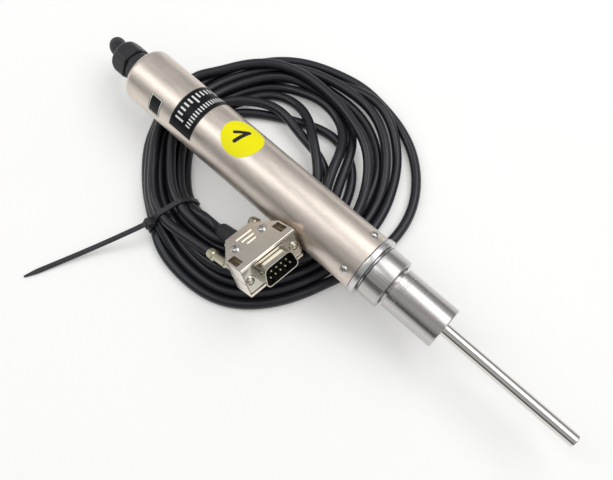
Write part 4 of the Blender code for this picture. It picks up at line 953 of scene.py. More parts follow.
# Bearings in degrees, and for each turn the reach in millimetres and the layer at them
COIL_STATIONS = (180, 205, 225, 256, 270, 300, 330, 360, 380, 405, 430, 455, 480, 510)
COIL_REACHES = (
    (59.5, 62.0, 60.6, 62.2, 67.5, 73.8, 69.2, 73.0, 76.4, 74.7, 69.0, 64.3, 62.2, 58.2),
    (55.0, 56.2, 55.0, 59.2, 56.5, 57.5, 55.7, 54.5, 52.3, 50.3, 47.3, 47.8, 52.2, 54.7),
    (57.5, 59.0, 58.0, 61.8, 63.5, 69.5, 64.7, 61.5, 63.3, 66.3, 66.3, 60.3, 57.7, 53.7),
    (54.5, 56.5, 55.6, 57.8, 60.5, 65.5, 60.7, 58.0, 58.8, 60.3, 60.5, 56.8, 55.2, 51.2),
    (51.5, 53.6, 52.8, 55.4, 57.0, 61.0, 56.2, 55.0, 55.8, 56.3, 55.5, 52.8, 51.2, 48.2),
    (49.0, 51.3, 50.4, 53.0, 53.5, 55.5, 50.2, 43.0, 38.8, 41.8, 47.5, 48.8, 49.2, 46.2),
    (46.5, 48.0, 46.6, 48.8, 46.4, 48.5, 43.7, 37.5, 33.5, 36.8, 42.5, 43.8, 45.2, 43.2),
    (44.0, 48.4, 47.6, 50.8, 50.0, 51.0, 47.2, 46.0, 44.8, 42.3, 36.0, 28.8, 27.2, 30.2),
    (38.5, 40.8, 40.2, 44.4, 42.5, 44.0, 38.2, 32.0, 27.8, 24.8, 25.5, 32.3, 39.2, 41.2),
    (43.5, 46.0, 45.2, 48.6, 48.0, 49.5, 44.2, 37.5, 33.3, 26.8, 22.5, 22.8, 28.7, 35.2),
    (42.0, 43.0, 43.2),
)
COIL_LEVELS = (
    (0, 0, 0, 0, 0, 0, 0, 0, 0, 0, 0, 0, 0, 0),
    (1, 2, 2, 2, 2, 2, 1, 1, 1, 2, 2, 2, 2, 2),
    (1, 1, 1, 1, 0, 0, 0, 0, 0, 0, 1, 0, 0, 0),
    (0, 0, 0, 0, 0, 0, 0, 0, 0, 1, 1, 1, 1, 1),
    (1, 1, 1, 1, 1, 1, 0, 0, 0, 0, 0, 0, 0, 0),
    (0, 0, 0, 0, 0, 0, 0, 0, 1, 1, 0, 0, 1, 1),
    (1, 2, 2, 2, 2, 2, 1, 1, 2, 2, 1, 1, 0, 0),
    (0, 1, 1, 1, 1, 1, 0, 0, 0, 0, 0, 0, 0, 0),
    (0, 0, 0, 0, 0, 0, 0, 1, 2, 2, 2, 1, 0, 0),
    (0, 0, 0, 0, 0, 0, 0, 0, 0, 1, 1, 1, 1, 1),
    (1, 1, 1),
)
LEAD_POINTS = (
    (-281.7, 3.2, -10.6),
    (-281.8, 4.0, -14.2),
    (-279.5, 5.4, -21.0),
    (-272.9, 6.6, -24.3),
    (-264.9, 7.2, -24.5),
    (-256.9, 6.0, -24.5),
    (-249.4, 0.5, -24.5),
)
TAIL_POINTS = (
    (-209.8, -24.9, -20.3),
    (-205.4, -28.0, -20.0),
    (-199.2, -30.6, -18.8),
    (-191.2, -31.3, -17.0),
    (-183.6, -30.8, -14.6),
)
TAIL_STATIONS = (-46.0, -43.0, -40.3)
COIL_START, COIL_END = 200.0, 3828.0
TAIL_ACROSS = Vector((0.89, -0.43, 0.10))
TIE_TAIL = (
    (-204.0, -56.0, -16.6),
    (-206.4, -60.7, -18.0),
    (-210.8, -68.7, -20.9),
    (-216.7, -80.2, -23.8),
    (-223.5, -94.5, -25.8),
    (-229.7, -108.7, -26.4),
)
TIE_BEARING = 256.3
TIE_SPREAD = 9.0

# How the turns settle
NEIGHBOUR_REACH = 9.0 * MM
SMOOTHING = 0.35
PULL_TO_LANE = 0.02
UNDER_TUBE = (-256 * MM, -104 * MM)


def through_knots(knots, values, wanted):
    """Smooth values at the wanted places, through knots that needn't be even."""
    knots = np.asarray(knots, float)
    values = np.asarray(values, float)
    gaps = np.diff(knots)
    slopes = np.gradient(values, knots)
    i = np.clip(np.searchsorted(knots, wanted, side="right") - 1, 0, len(knots) - 2)
    t = (wanted - knots[i]) / gaps[i]
    near = (2 * t**3 - 3 * t**2 + 1) * values[i] + (t**3 - 2 * t**2 + t) * gaps[i] * slopes[i]
    far = (3 * t**2 - 2 * t**3) * values[i + 1] + (t**3 - t**2) * gaps[i] * slopes[i + 1]
    return near + far


def evenly_spaced(points, step, fine=8):
    """Evenly spaced points on a smooth curve through the given ones."""
    ends = np.vstack([2 * points[0] - points[1], points, 2 * points[-1] - points[-2]])
    a, b, c, d = ends[:-3], ends[1:-2], ends[2:-1], ends[3:]
    rows = []
    for t in np.arange(fine) / fine:
        square = (2 * a - 5 * b + 4 * c - d) * t**2
        cube = (3 * b - a - 3 * c + d) * t**3
        rows.append(0.5 * (2 * b + (c - a) * t + square + cube))
    dense = np.vstack([np.stack(rows, 1).reshape(-1, 3), points[-1:]])
    walked = np.r_[0, np.cumsum(np.linalg.norm(np.diff(dense, axis=0), axis=1))]
    wanted = np.linspace(0, walked[-1], int(round(walked[-1] / step)) + 1)
    return np.stack([np.interp(wanted, walked, dense[:, axis]) for axis in range(3)], 1)


def cord_route(step):
    """The cord's route before it settles: the lead, ten turns and the tail up to the plug."""
    bearings, reaches, heights = [], [], []
    for turn, (reach, layer) in enumerate(zip(COIL_REACHES, COIL_LEVELS)):
        for station, radius, level in zip(COIL_STATIONS, reach, layer):
            bearings.append(station + 360 * turn)
            reaches.append(radius * MM)
            heights.append(CORD_LAYERS[level])
    bearing = np.linspace(COIL_START, COIL_END, int((COIL_END - COIL_START) / 2) + 1)
    reach = through_knots(bearings, reaches, bearing)
    height = through_knots(bearings, heights, bearing) + TABLE_Z
    angle = np.radians(bearing)
    coil = np.stack(
        [COIL_MIDDLE[0] + reach * np.cos(angle), COIL_MIDDLE[1] + reach * np.sin(angle), height], 1
    )
    plug_end = [PLUG_ORIGIN + PLUG_AXIS * x * MM for x in TAIL_STATIONS]
    lead = np.array(LEAD_POINTS) * MM
    tail = np.array(TAIL_POINTS) * MM
    return evenly_spaced(np.vstack([lead, coil, tail, plug_end]), step)


def ground_height(points, lift):
    """The lowest height of the cord's middle: the table, and the tie's strap under the coil."""
    bearing = np.degrees(np.arctan2(points[:, 1] - COIL_MIDDLE[1], points[:, 0] - COIL_MIDDLE[0])) % 360
    near = np.exp(-0.5 * ((bearing - TIE_BEARING) / TIE_SPREAD) ** 2)
    return TABLE_Z + CORD_LAYERS[0] + lift * near


def strand_pairs(points, reach, skip):
    """Pairs of points of neighbouring strands."""
    tree = kdtree.KDTree(len(points))
    for index, point in enumerate(points):
        tree.insert(point, index)
    tree.balance()
    pairs = [
        (index, other)
        for index, point in enumerate(points)
        for _, other, _ in tree.find_range(point, reach)
        if other > index + skip
    ]
    return np.array(pairs)


def settle(route, diameter, step, rounds, lift):
    """Pushes the strands apart to their diameter while they stay smooth and near their lanes."""
    points = route.copy()
    held = np.zeros(len(points), bool)
    held[:4] = True
    held[-6:] = True
    free = ~held[:, None]
    skip = int(math.ceil(diameter * 2.4 / step))
    floor = ground_height(points, lift)
    tube_gap = TUBE_RADIUS + CLEARANCE + diameter / 2
    for turn in range(rounds):
        if turn % 10 == 0:
            pairs = strand_pairs(points, NEIGHBOUR_REACH, skip)
            first, second = pairs[:, 0], pairs[:, 1]
        heading = np.gradient(points, axis=0)
        heading /= np.linalg.norm(heading, axis=1, keepdims=True)
        apart = points[second] - points[first]
        along = (apart * heading[first]).sum(1)
        beside = np.abs(along) < step * 0.75
        across = apart - (along * beside)[:, None] * heading[first]
        distance = np.maximum(np.linalg.norm(across, axis=1), 1e-9)
        hit = distance < diameter
        push = across[hit] * (0.5 * (diameter - distance[hit]) / distance[hit])[:, None]
        shift = np.zeros_like(points)
        count = np.zeros(len(points))
        np.add.at(shift, first[hit], -push)
        np.add.at(shift, second[hit], push)
        np.add.at(count, first[hit], 1)
        np.add.at(count, second[hit], 1)
        points += free * 0.5 * shift / np.maximum(count, 1)[:, None] * np.minimum(count, 2)[:, None]
        smooth = np.zeros_like(points)
        around = 4 * (points[3:-1] + points[1:-3]) - points[4:] - points[:-4]
        smooth[2:-2] = around / 6 - points[2:-2]
        points += free * (SMOOTHING * smooth + PULL_TO_LANE * (route - points))
        under = (points[:, 0] < UNDER_TUBE[1]) & (points[:, 0] > UNDER_TUBE[0]) & (points[:, 2] < 0) & ~held
        reach = np.hypot(points[:, 1], points[:, 2])
        close = under & (reach < tube_gap)
        points[close, 1:] *= (tube_gap / reach[close])[:, None]
        points[:, 2] = np.maximum(points[:, 2], floor)
    return points


CORD_POINTS = {}


def cord_points():
    """The settled cord, worked out once."""
    if not CORD_POINTS:
        sizes = bpy.context.scene.probe_cord
        rounds = sizes.settling_rounds
        route = cord_route(sizes.step)
        CORD_POINTS["line"] = settle(route, sizes.diameter, sizes.step, rounds, sizes.tie_lift)
    return CORD_POINTS["line"]


class PROBE_OT_cord(bpy.types.Operator):
    """Lays the coiled cord from the gland's boot to the plug's sleeve"""

    bl_idname = "probe.cord"
    bl_label = "Cord"

    def execute(self, context):
        sizes = context.scene.probe_cord
        points = evenly_spaced(cord_points(), 2.5 * MM, 4)
        curve = bpy.data.curves.new("cord", "CURVE")
        curve.dimensions = "3D"
        curve.bevel_depth = sizes.diameter / 2
        curve.bevel_resolution = 6
        curve.use_fill_caps = True
        curve.twist_mode = "MINIMUM"
        spline = curve.splines.new("POLY")
        spline.points.add(len(points) - 1)
        spline.points.foreach_set("co", np.c_[points, np.ones(len(points))].ravel())
        spline.use_smooth = True
        curve.materials.append(finish_named("cord_vinyl"))
        cord = bpy.data.objects.new("cord", curve)
        context.scene.collection.objects.link(cord)
        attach(cord, "probe")
        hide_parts("cord_lead", "cord_coil", "cord_tail")
        return {"FINISHED"}


# Cable tie


def hull_outline(centres, radius, around=28):
    """The outline, counterclockwise, of circles round the centres, drawn tight."""
    turns = np.arange(around) * 2 * math.pi / around
    ring = np.stack([np.cos(turns), np.sin(turns)], 1) * radius
    cloud = sorted({(round(x, 8), round(y, 8)) for centre in centres for x, y in ring + centre})

    def half(points):
        chain = []
        for p in points:
            while len(chain) > 1:
                (ax, ay), (bx, by) = chain[-2], chain[-1]
                if (bx - ax) * (p[1] - ay) - (by - ay) * (p[0] - ax) > 0:
                    break
                chain.pop()
            chain.append(p)
        return chain[:-1]

    return half(cloud) + half(cloud[::-1])


def ribbon_mesh(name, path, across, width, thickness, closed, taper=None):
    """A strap with eased edges along a path; across is the direction of its width."""
    edge = 0.15 * MM
    points = [Vector(p) for p in path]
    count = len(points)
    bm = bmesh.new()
    rings = []
    for index, point in enumerate(points):
        before = points[index - 1] if closed or index else point
        after = points[(index + 1) % count] if closed or index < count - 1 else point
        heading = (after - before).normalized()
        wide = (across - heading * across.dot(heading)).normalized()
        normal = heading.cross(wide)
        share = taper[index] if taper else 1.0
        half_wide, half_thick = share * width / 2, thickness / 2
        corners = [
            (half_wide - edge, half_thick),
            (half_wide, half_thick - edge),
            (half_wide, edge - half_thick),
            (half_wide - edge, -half_thick),
            (edge - half_wide, -half_thick),
            (-half_wide, edge - half_thick),
            (-half_wide, half_thick - edge),
            (edge - half_wide, half_thick),
        ]
        rings.append([bm.verts.new(point + wide * a + normal * b) for a, b in corners])
    for first, second in zip(rings, rings[1:]):
        bridge(bm, first, second)
    if closed:
        bridge(bm, rings[-1], rings[0])
    if not closed:
        bm.faces.new(rings[0])
        bm.faces.new(rings[-1])
    return mesh_of(bm, name)


class PROBE_OT_cable_tie(bpy.types.Operator):
    """Draws the cable tie round the coil where it is narrowest"""

    bl_idname = "probe.cable_tie"
    bl_label = "Cable tie"

    def execute(self, context):
        sizes = context.scene.probe_sizes
        diameter = context.scene.probe_cord.diameter
        bearing = math.radians(TIE_BEARING)
        outward = Vector((math.cos(bearing), math.sin(bearing), 0.0))
        across = Vector((-outward.y, outward.x, 0.0))
        middle = Vector((*COIL_MIDDLE, 0.0))
        crossings = self.crossings(cord_points(), middle, outward, across)
        thickness = 1.0 * MM
        outline = hull_outline(crossings, diameter / 2 + thickness / 2 + 0.02 * MM)
        loop = [middle + outward * a + Vector((0, 0, b)) for a, b in outline]
        strap = ribbon_mesh("strap", loop, across, sizes.tie_width, thickness, True)
        spot, normal = self.head_seat(outline)
        lift = Vector((outward.x * normal[0], outward.y * normal[0], normal[1]))
        head_at = middle + outward * spot[0] + Vector((0, 0, spot[1])) + lift * 2.1 * MM
        ahead = across.cross(lift)
        turn = Matrix((ahead, across, lift)).transposed().to_4x4()
        head = self.head(head_at, turn)
        tail_path = self.tail_path(head_at, lift)
        tapers = [min(1.0, 0.35 + 0.2 * k) for k in range(len(tail_path))][::-1]
        tail = ribbon_mesh("tail", tail_path, TAIL_ACROSS, sizes.tie_width, thickness, False, tapers)
        mesh = joined("tie", [strap, head, tail, self.teeth(tail_path, sizes)])
        place_piece("tie", mesh, "black_nylon", replaces=("cable_tie",))
        return {"FINISHED"}

    def head_seat(self, outline):
        """The middle of the strap's longest flat on the coil's outer side, with the flat's normal."""
        flats = []
        for (ax, az), (bx, bz) in zip(outline, outline[1:] + outline[:1]):
            length = math.hypot(bx - ax, bz - az)
            normal = ((bz - az) / length, (ax - bx) / length)
            if min(normal) > 0.1:
                flats.append((length, ((ax + bx) / 2, (az + bz) / 2), normal))
        return max(flats)[1:]

    def crossings(self, points, middle, outward, across):
        """Where the strands pass through the tie's plane, as (reach, height)."""
        found = []
        offsets = points - np.array(middle)
        side = offsets @ np.array(across)
        reach = offsets @ np.array(outward)
        for i in range(len(points) - 1):
            if side[i] * side[i + 1] <= 0 and reach[i] > 0 and side[i] != side[i + 1]:
                share = side[i] / (side[i] - side[i + 1])
                height = points[i, 2] + share * (points[i + 1, 2] - points[i, 2])
                found.append((reach[i] + share * (reach[i + 1] - reach[i]), height))
        return np.array(found)

    def head(self, place, turn):
        """The ratchet head with its slot."""
        body = prism_mesh("tie_head", rounded_plate((-2.2, -2.2), (2.2, 2.2), 0.7, 3), -1.9 * MM, 1.9 * MM)
        slot = block_mesh("slot", (-0.8, -1.4, -3), (0.6, 1.4, 3))
        return moved(cut(body, [slot], edge=0.35 * MM), place, turn)

    def tail_path(self, start, lift):
        """From the head out over the table to the tip."""
        knots = np.array([tuple(start), tuple(start + lift * 2.0 * MM), *(np.array(TIE_TAIL) * MM)])
        return evenly_spaced(knots, 2.0 * MM)

    def teeth(self, path, sizes):
        """The fine ratchet teeth on the tail's face."""
        tooth = block_mesh("tooth", (-0.30, -0.85, 0.0), (0.30, 0.85, 0.22))
        count = int((len(path) - 6) * 2.0 * MM / sizes.tie_tooth_pitch)
        made = along_line("tie_teeth", tooth, (0, 0, 0), (sizes.tie_tooth_pitch, 0, 0), count, "black_nylon")
        line = np.array(path)
        walked = np.r_[0, np.cumsum(np.linalg.norm(np.diff(line, axis=0), axis=1))]
        wide = np.array(TAIL_ACROSS)
        for vertex in made.vertices:
            s = vertex.co.x + 4.0 * MM
            at = np.array([np.interp(s, walked, line[:, k]) for k in range(3)])
            ahead = np.array([np.interp(s + 1 * MM, walked, line[:, k]) for k in range(3)]) - at
            ahead /= max(np.linalg.norm(ahead), 1e-9)
            side = wide - ahead * (wide @ ahead)
            side /= np.linalg.norm(side)
            normal = np.cross(ahead, side)
            normal = normal if normal[2] > 0 else -normal
            vertex.co = Vector(at + side * vertex.co.y + normal * (0.45 * MM + vertex.co.z))
        return made


# Housing


class PROBE_OT_housing(bpy.types.Operator):
    """Turns the housing tube with its closed rear end"""

    bl_idname = "probe.housing"
    bl_label = "Housing"

    def execute(self, context):
        segments = context.scene.probe_sizes.round_segments
        low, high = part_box("housing_tube")
        front, rear, radius = high.x, low.x, high.z
        wall, rear_wall, hole = 1.5 * MM, 5.0 * MM, 6.3 * MM
        outer = [
            (rear, hole),
            (rear, radius),
            (front - 7.8 * MM, radius),
            (front - 1.8 * MM, radius),
            (front, radius),
            (front, radius - wall),
            (front - 1.8 * MM, radius - wall),
            (front - 7.8 * MM, radius - wall),
            (rear + rear_wall, radius - wall),
            (rear + rear_wall, hole),
        ]
        edges = mm(0.3, 3.4, 0, 0, 0.25, 0.1, 0, 0, 0, 0.1)
        mesh = turned_mesh("housing", eased(outer, edges, 7, True), segments, True)
        mesh = cut(mesh, tube_screw_holes(front - SCREW_SETBACK, radius))
        place_piece("housing", mesh, "champagne_nickel", replaces=("housing_tube",))
        return {"FINISHED"}


def tube_screw_holes(station, radius):
    """Cutters for the four screws' holes, from inside the cap's spigot to outside the tube."""
    holes = []
    for index in range(4):
        hole = rod_mesh("hole", 9.0 * MM, radius + MM, 1.2 * MM, 20)
        turn = Matrix.Rotation(math.radians(SCREW_DEGREES - 90.0 * index), 4, "X")
        holes.append(moved(hole, (station, 0, 0), turn @ UPRIGHT))
    return holes


def wrapped_patch(name, outline, map_name, origin, count=24):
    """A thin film bent round the housing; the outline is in millimetres along X and round the tube."""
    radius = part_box("housing_tube")[1].z + 0.01 * MM
    thickness = 0.06 * MM
    bm = bmesh.new()
    layer = bm.loops.layers.uv.new(map_name)
    low_x = min(x for x, s in outline)
    high_x = max(x for x, s in outline)

    def span(x):
        """The outline's lowest and highest place round the tube at one station."""
        crossings = []
        for (ax, low), (bx, high) in zip(outline, [*outline[1:], outline[0]]):
            if (ax - x) * (bx - x) <= 0 and ax != bx:
                crossings.append(low + (high - low) * (x - ax) / (bx - ax))
        return min(crossings), max(crossings)

    grids = []
    places = {}
    for lift in (0.0, thickness):
        grid = []
        for i in range(count + 1):
            turn = math.pi * i / count
            x = (low_x + high_x) / 2 - (high_x - low_x) / 2 * math.cos(turn) * 0.99999
            low, high = span(x)
            row = []
            for j in range(count + 1):
                s = low + (high - low) * j / count
                angle = s * MM / radius
                reach = radius + lift
                row.append(bm.verts.new((x * MM, reach * math.sin(angle), reach * math.cos(angle))))
                places[row[-1]] = (x - origin[0], s - origin[1])
            grid.append(row)
        grids.append(grid)
    lower, upper = grids
    for i in range(count):
        for j in range(count):
            for grid in grids:
                bm.faces.new((grid[i][j], grid[i + 1][j], grid[i + 1][j + 1], grid[i][j + 1]))
    for i in range(count):
        for j in (0, count):
            bm.faces.new((lower[i][j], lower[i + 1][j], upper[i + 1][j], upper[i][j]))
    for j in range(count):
        for i in (0, count):
            bm.faces.new((lower[i][j], lower[i][j + 1], upper[i][j + 1], upper[i][j]))
    for face in bm.faces:
        for loop in face.loops:
            loop[layer].uv = places[loop.vert]
    bmesh.ops.recalc_face_normals(bm, faces=bm.faces)
    mesh = bpy.data.meshes.new(name)
    bm.to_mesh(mesh)
    bm.free()
    return mesh


class PROBE_OT_labels(bpy.types.Operator):
    """Lays the printed band, the small label and the inspection sticker round the housing"""

    bl_idname = "probe.labels"
    bl_label = "Labels"

    def execute(self, context):
        sizes = context.scene.probe_sizes
        per_degree = math.radians(1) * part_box("housing_tube")[1].z / MM
        low_x = -222.0
        start, end = -66.0 * per_degree, 128.0 * per_degree
        band = rectangle((low_x, start), (low_x + sizes.scale_band_width / MM, end))
        mesh = wrapped_patch("scale_band", band, "Band", (low_x, start), 40)
        place_piece("scale_band", mesh, "printed_band")
        low_x = -236.3
        start, end = -76.0 * per_degree, -36.0 * per_degree
        label = eased(rectangle((low_x, start), (-228.9, end)), 0.9, 4, True)
        mesh = wrapped_patch("side_label", label, "Label", (low_x, start))
        place_piece("side_label", mesh, "bordered_label")
        x, s = -187.8, 11.1 * per_degree
        half = sizes.sticker_diameter / 2 / MM
        turns = [k * math.pi / 48 for k in range(96)]
        disc = [(x + half * math.cos(turn), s + half * math.sin(turn)) for turn in turns]
        mesh = wrapped_patch("sticker", disc, "Sticker", (x, s), 32)
        place_piece("sticker", mesh, "tick_sticker")
        return {"FINISHED"}


# Front end


class PROBE_OT_front_end(bpy.types.Operator):
    """Turns the spindle, the stem and the front cap"""

    bl_idname = "probe.front_end"
    bl_label = "Front end"

    def execute(self, context):
        sizes = context.scene.probe_sizes
        segments = sizes.round_segments
        self.spindle(segments)
        self.stem(sizes, segments)
        self.cap(segments)
        return {"FINISHED"}

    def spindle(self, segments):
        low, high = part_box("spindle")
        profile = [
            (high.x - 0.15 * MM, 0.0),
            (high.x - 0.15 * MM, 0.35 * MM),
            (high.x, 0.6 * MM),
            (high.x, high.z),
            (low.x, high.z),
            (low.x, 0.0),
        ]
        mesh = turned_mesh("spindle_rod", eased(profile, mm(0, 0.1, 0.2, 0.5, 0.5, 0), 4), segments)
        place_piece("spindle_rod", mesh, "ground_steel", "spindle_group", ("spindle",))

    def stem(self, sizes, segments):
        low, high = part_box("stem")
        front, rear, radius = high.x, low.x, 10.0 * MM
        length = 28.3 * MM
        neck_depth = 1.3 * MM
        neck = front - length + CLEARANCE + neck_depth
        shoulder = front - length - 0.5 * MM
        bore, mouth, seat = 5.3 * MM, 3.3 * MM, 8.0 * MM
        marks = []
        for start in (neck + 4.4 * MM, neck + 3.2 * MM):
            marks += [
                (start, radius),
                (start - 0.10 * MM, radius - sizes.ring_mark_depth),
                (start - 0.25 * MM, radius - sizes.ring_mark_depth),
                (start - 0.35 * MM, radius),
            ]
        rest = [
            (neck, radius),
            (neck, radius - neck_depth),
            (shoulder, radius - neck_depth),
            (shoulder, seat),
            (rear, seat),
            (rear, bore),
            (front - 1.6 * MM, bore),
            (front - 1.6 * MM, mouth),
        ]
        profile = [(front, mouth), (front, radius), *marks, *rest]
        edges = [0.25 * MM, sizes.stem_edge, *[0.0] * len(marks), 0.15 * MM, *[0.0] * 7]
        mesh = turned_mesh("stem_sleeve", eased(profile, edges, 5, True), segments, True)
        place_piece("stem_sleeve", mesh, "turned_aluminium", replaces=("stem",), sharp=25.0)

    def cap(self, segments):
        low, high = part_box("front_cap")
        front, rear, flange_radius = high.x, low.x, high.z
        collar, spigot, seat, bore = mm(12.5, 12.2, 10.3, 8.3)
        flange_front = front - 11.1 * MM
        flange_back = flange_front - 2.8 * MM
        groove, groove_floor = flange_front + 0.8 * MM, collar - 1.8 * MM
        profile = [
            (front, seat),
            (front, collar),
            (groove, collar),
            (groove, groove_floor),
            (flange_front, groove_floor),
            (flange_front, flange_radius),
            (flange_back, flange_radius),
            (flange_back, spigot),
            (rear + 1.0 * MM, spigot),
            (rear, spigot),
            (rear, bore),
            (front - 0.8 * MM, bore),
            (front - 0.8 * MM, seat),
        ]
        edges = mm(0.15, 0.6, 0.15, 0, 0, 0.4, 0.4, 0, 0, 0.5, 0.1, 0, 0)
        mesh = turned_mesh("collar_and_flange", eased(profile, edges, 4, True), segments, True)
        mesh = cut(mesh, tube_screw_holes(flange_back - CLEARANCE - SCREW_SETBACK, TUBE_RADIUS))
        place_piece("collar_and_flange", mesh, "bright_aluminium", replaces=("front_cap",), sharp=25.0)


# Screws


def cross_head_screw(name, head_radius, head_height, shank_radius, shank_length, segments=48):
    """A pan-head screw with a cross recess, its head's seat at the origin and its axis along +X."""
    crown = [
        (head_height, 0.0),
        (head_height * 0.985, head_radius * 0.30),
        (head_height * 0.90, head_radius * 0.62),
        (head_height * 0.66, head_radius * 0.88),
        (head_height * 0.30, head_radius),
        (0.0, head_radius),
        (0.0, shank_radius),
    ]
    thread = []
    pitch = 0.45 * MM
    for turn in range(int((shank_length - 0.6 * MM) / pitch)):
        start = -0.4 * MM - turn * pitch
        thread += [(start, shank_radius), (start - pitch / 2, shank_radius - 0.18 * MM)]
    tip = [
        (-shank_length + 0.2 * MM, shank_radius - 0.1 * MM),
        (-shank_length, shank_radius - 0.3 * MM),
        (-shank_length, 0.0),
    ]
    body = turned_mesh(name, crown + thread + tip, segments)
    arm, slim = head_radius * 0.56, head_radius * 0.14
    depth = head_height * 0.62
    return cut(body, [recess_arm(y, z, head_height, depth) for y, z in ((arm, slim), (slim, arm))])


def recess_arm(half_y, half_z, top, depth):
    """One arm of the cross recess: a wedge that narrows downwards."""
    slim_y = half_y * (0.45 if half_y > half_z else 0.8)
    slim_z = half_z * (0.45 if half_z > half_y else 0.8)
    bm = bmesh.new()
    rings = []
    for x, reach_y, reach_z in ((top + 0.3 * MM, half_y, half_z), (top - depth, slim_y, slim_z)):
        rings.append([bm.verts.new((x, y * reach_y, z * reach_z)) for y, z in rectangle((-1, -1), (1, 1))])
    bm.faces.new(rings[0])
    bm.faces.new(rings[1])
    bridge(bm, *rings)
    return mesh_of(bm, "recess_arm")


class PROBE_OT_housing_screws(bpy.types.Operator):
    """Sets the cross-recess screws round the housing's front end"""

    bl_idname = "probe.housing_screws"
    bl_label = "Housing screws"

    def execute(self, context):
        sizes = context.scene.probe_sizes
        tube_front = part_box("housing_tube")[1]
        screw = cross_head_screw("screw", sizes.screw_head / 2, 1.25 * MM, 0.9 * MM, 4.2 * MM)
        screw.transform(Matrix.Rotation(math.radians(20), 4, "X"))
        moved(screw, (tube_front.x - SCREW_SETBACK, 0, tube_front.z + 0.05 * MM), UPRIGHT)
        start = math.radians(SCREW_DEGREES)
        mesh = round_the_axis("housing_screws", screw, sizes.screw_count, start, "screw_steel")
        nodes = [f"tube_screw_{k}" for k in range(1, 5)]
        place_piece("housing_screws", mesh, "screw_steel", replaces=nodes)
        return {"FINISHED"}


# Gland and boot


class PROBE_OT_gland(bpy.types.Operator):
    """Moulds the cable gland's seal, body and nut, and the cord's boot"""

    bl_idname = "probe.gland"
    bl_label = "Gland and boot"

    def execute(self, context):
        self.seal()
        self.body()
        self.nut()
        self.boot()
        return {"FINISHED"}

    def hexagon(self, low, high, flat):
        """A hexagonal bar a little longer than the piece that it trims."""
        return rod_mesh("hexagon", low.x - MM, high.x + MM, flat / COS_30, 6)

    def seal(self):
        low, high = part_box("gland_seal")
        profile = rectangle((low.x, 6.35 * MM), (high.x, high.z))
        mesh = turned_mesh("gland_washer", eased(profile, 0.25 * MM, 3, True), 72, True)
        place_piece("gland_washer", mesh, "black_rubber", replaces=("gland_seal",))

    def body(self):
        low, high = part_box("gland_body")
        seal_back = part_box("gland_seal")[0].x - CLEARANCE
        hex_back = seal_back - 5.5 * MM
        bore, thread, corner, chamfer, neck = mm(4.0, 6.0, 8.2, 7.2, 5.5)
        profile = [
            (high.x, bore),
            (high.x, thread),
            (seal_back, thread),
            (seal_back, corner),
            (hex_back + 1.2 * MM, corner),
            (hex_back + 1.2 * MM, chamfer),
            (hex_back, chamfer),
            (hex_back, neck),
            (low.x, neck),
            (low.x, bore),
        ]
        edges = mm(0, 0.4, 0, 0.6, 0.5, 0, 0, 0, 0, 0)
        blank = turned_mesh("gland_blank", eased(profile, edges, 4, True), 96, True)
        mesh = cut(blank, [self.hexagon(low, high, 7.5 * MM)], "INTERSECT")
        place_piece("gland_base", mesh, "black_nylon", replaces=("gland_body",), sharp=24.0)

    def nut(self):
        low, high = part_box("gland_nut")
        corner = 7.5 * MM / COS_30
        end, bore = 5.8 * MM, 4.0 * MM
        shoulder = high.x - 0.55 * (high.x - low.x)
        outer = [(high.x, corner - 0.9 * MM), (high.x - 0.5 * MM, corner)]
        for step in range(11):
            turn = math.radians(9 * step)
            station = shoulder - (shoulder - low.x) * math.sin(turn)
            outer.append((station, end + (corner - end) * math.cos(turn)))
        inner = [(low.x, bore), (high.x - 7.1 * MM, bore), (high.x - 5.9 * MM, end), (high.x, end)]
        blank = turned_mesh("nut_blank", outer + inner, 96, True)
        mesh = cut(blank, [self.hexagon(low, high, 7.9 * MM)], "INTERSECT")
        place_piece("gland_cap_nut", mesh, "black_nylon", replaces=("gland_nut",), sharp=24.0)

    def boot(self):
        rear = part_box("gland_nut")[0].x / MM
        straight = ((12.6, 0, 0), (4, 0, 0), (0, 0, 0))
        bend = ((-4.8, 1.0, -0.5), (-8.4, 2.8, -3.6), (-10.6, 3.4, -10.4))
        knots = np.array([(rear + x, y, z) for x, y, z in straight + bend])
        path = evenly_spaced(knots * MM, 0.5 * MM)
        count = len(path)
        radii = []
        for index in range(count):
            outside = min(1.0, max(0.0, rear - float(path[index][0]) / MM))
            radius = (3.7 + 0.4 * outside) * MM
            radii.append(radius if index < count - 1 else radius - 0.5 * MM)
        mesh = swept_mesh("boot", path, radii, 32)
        place_piece("boot", mesh, "black_rubber", replaces=("cord_boot",), sharp=40.0)


# Plug


def hood_outline():
    """The hood's outline: broad at the mating face, leaning in to its rear."""
    wide, narrow = 15.3, 7.0
    bend, rear = -10.7, -22.3
    corners = [(0.0, -wide), (0.0, wide), (bend, wide), (rear, narrow), (rear, -narrow), (bend, -wide)]
    return in_mm(eased(corners, 0.6, 3, True))


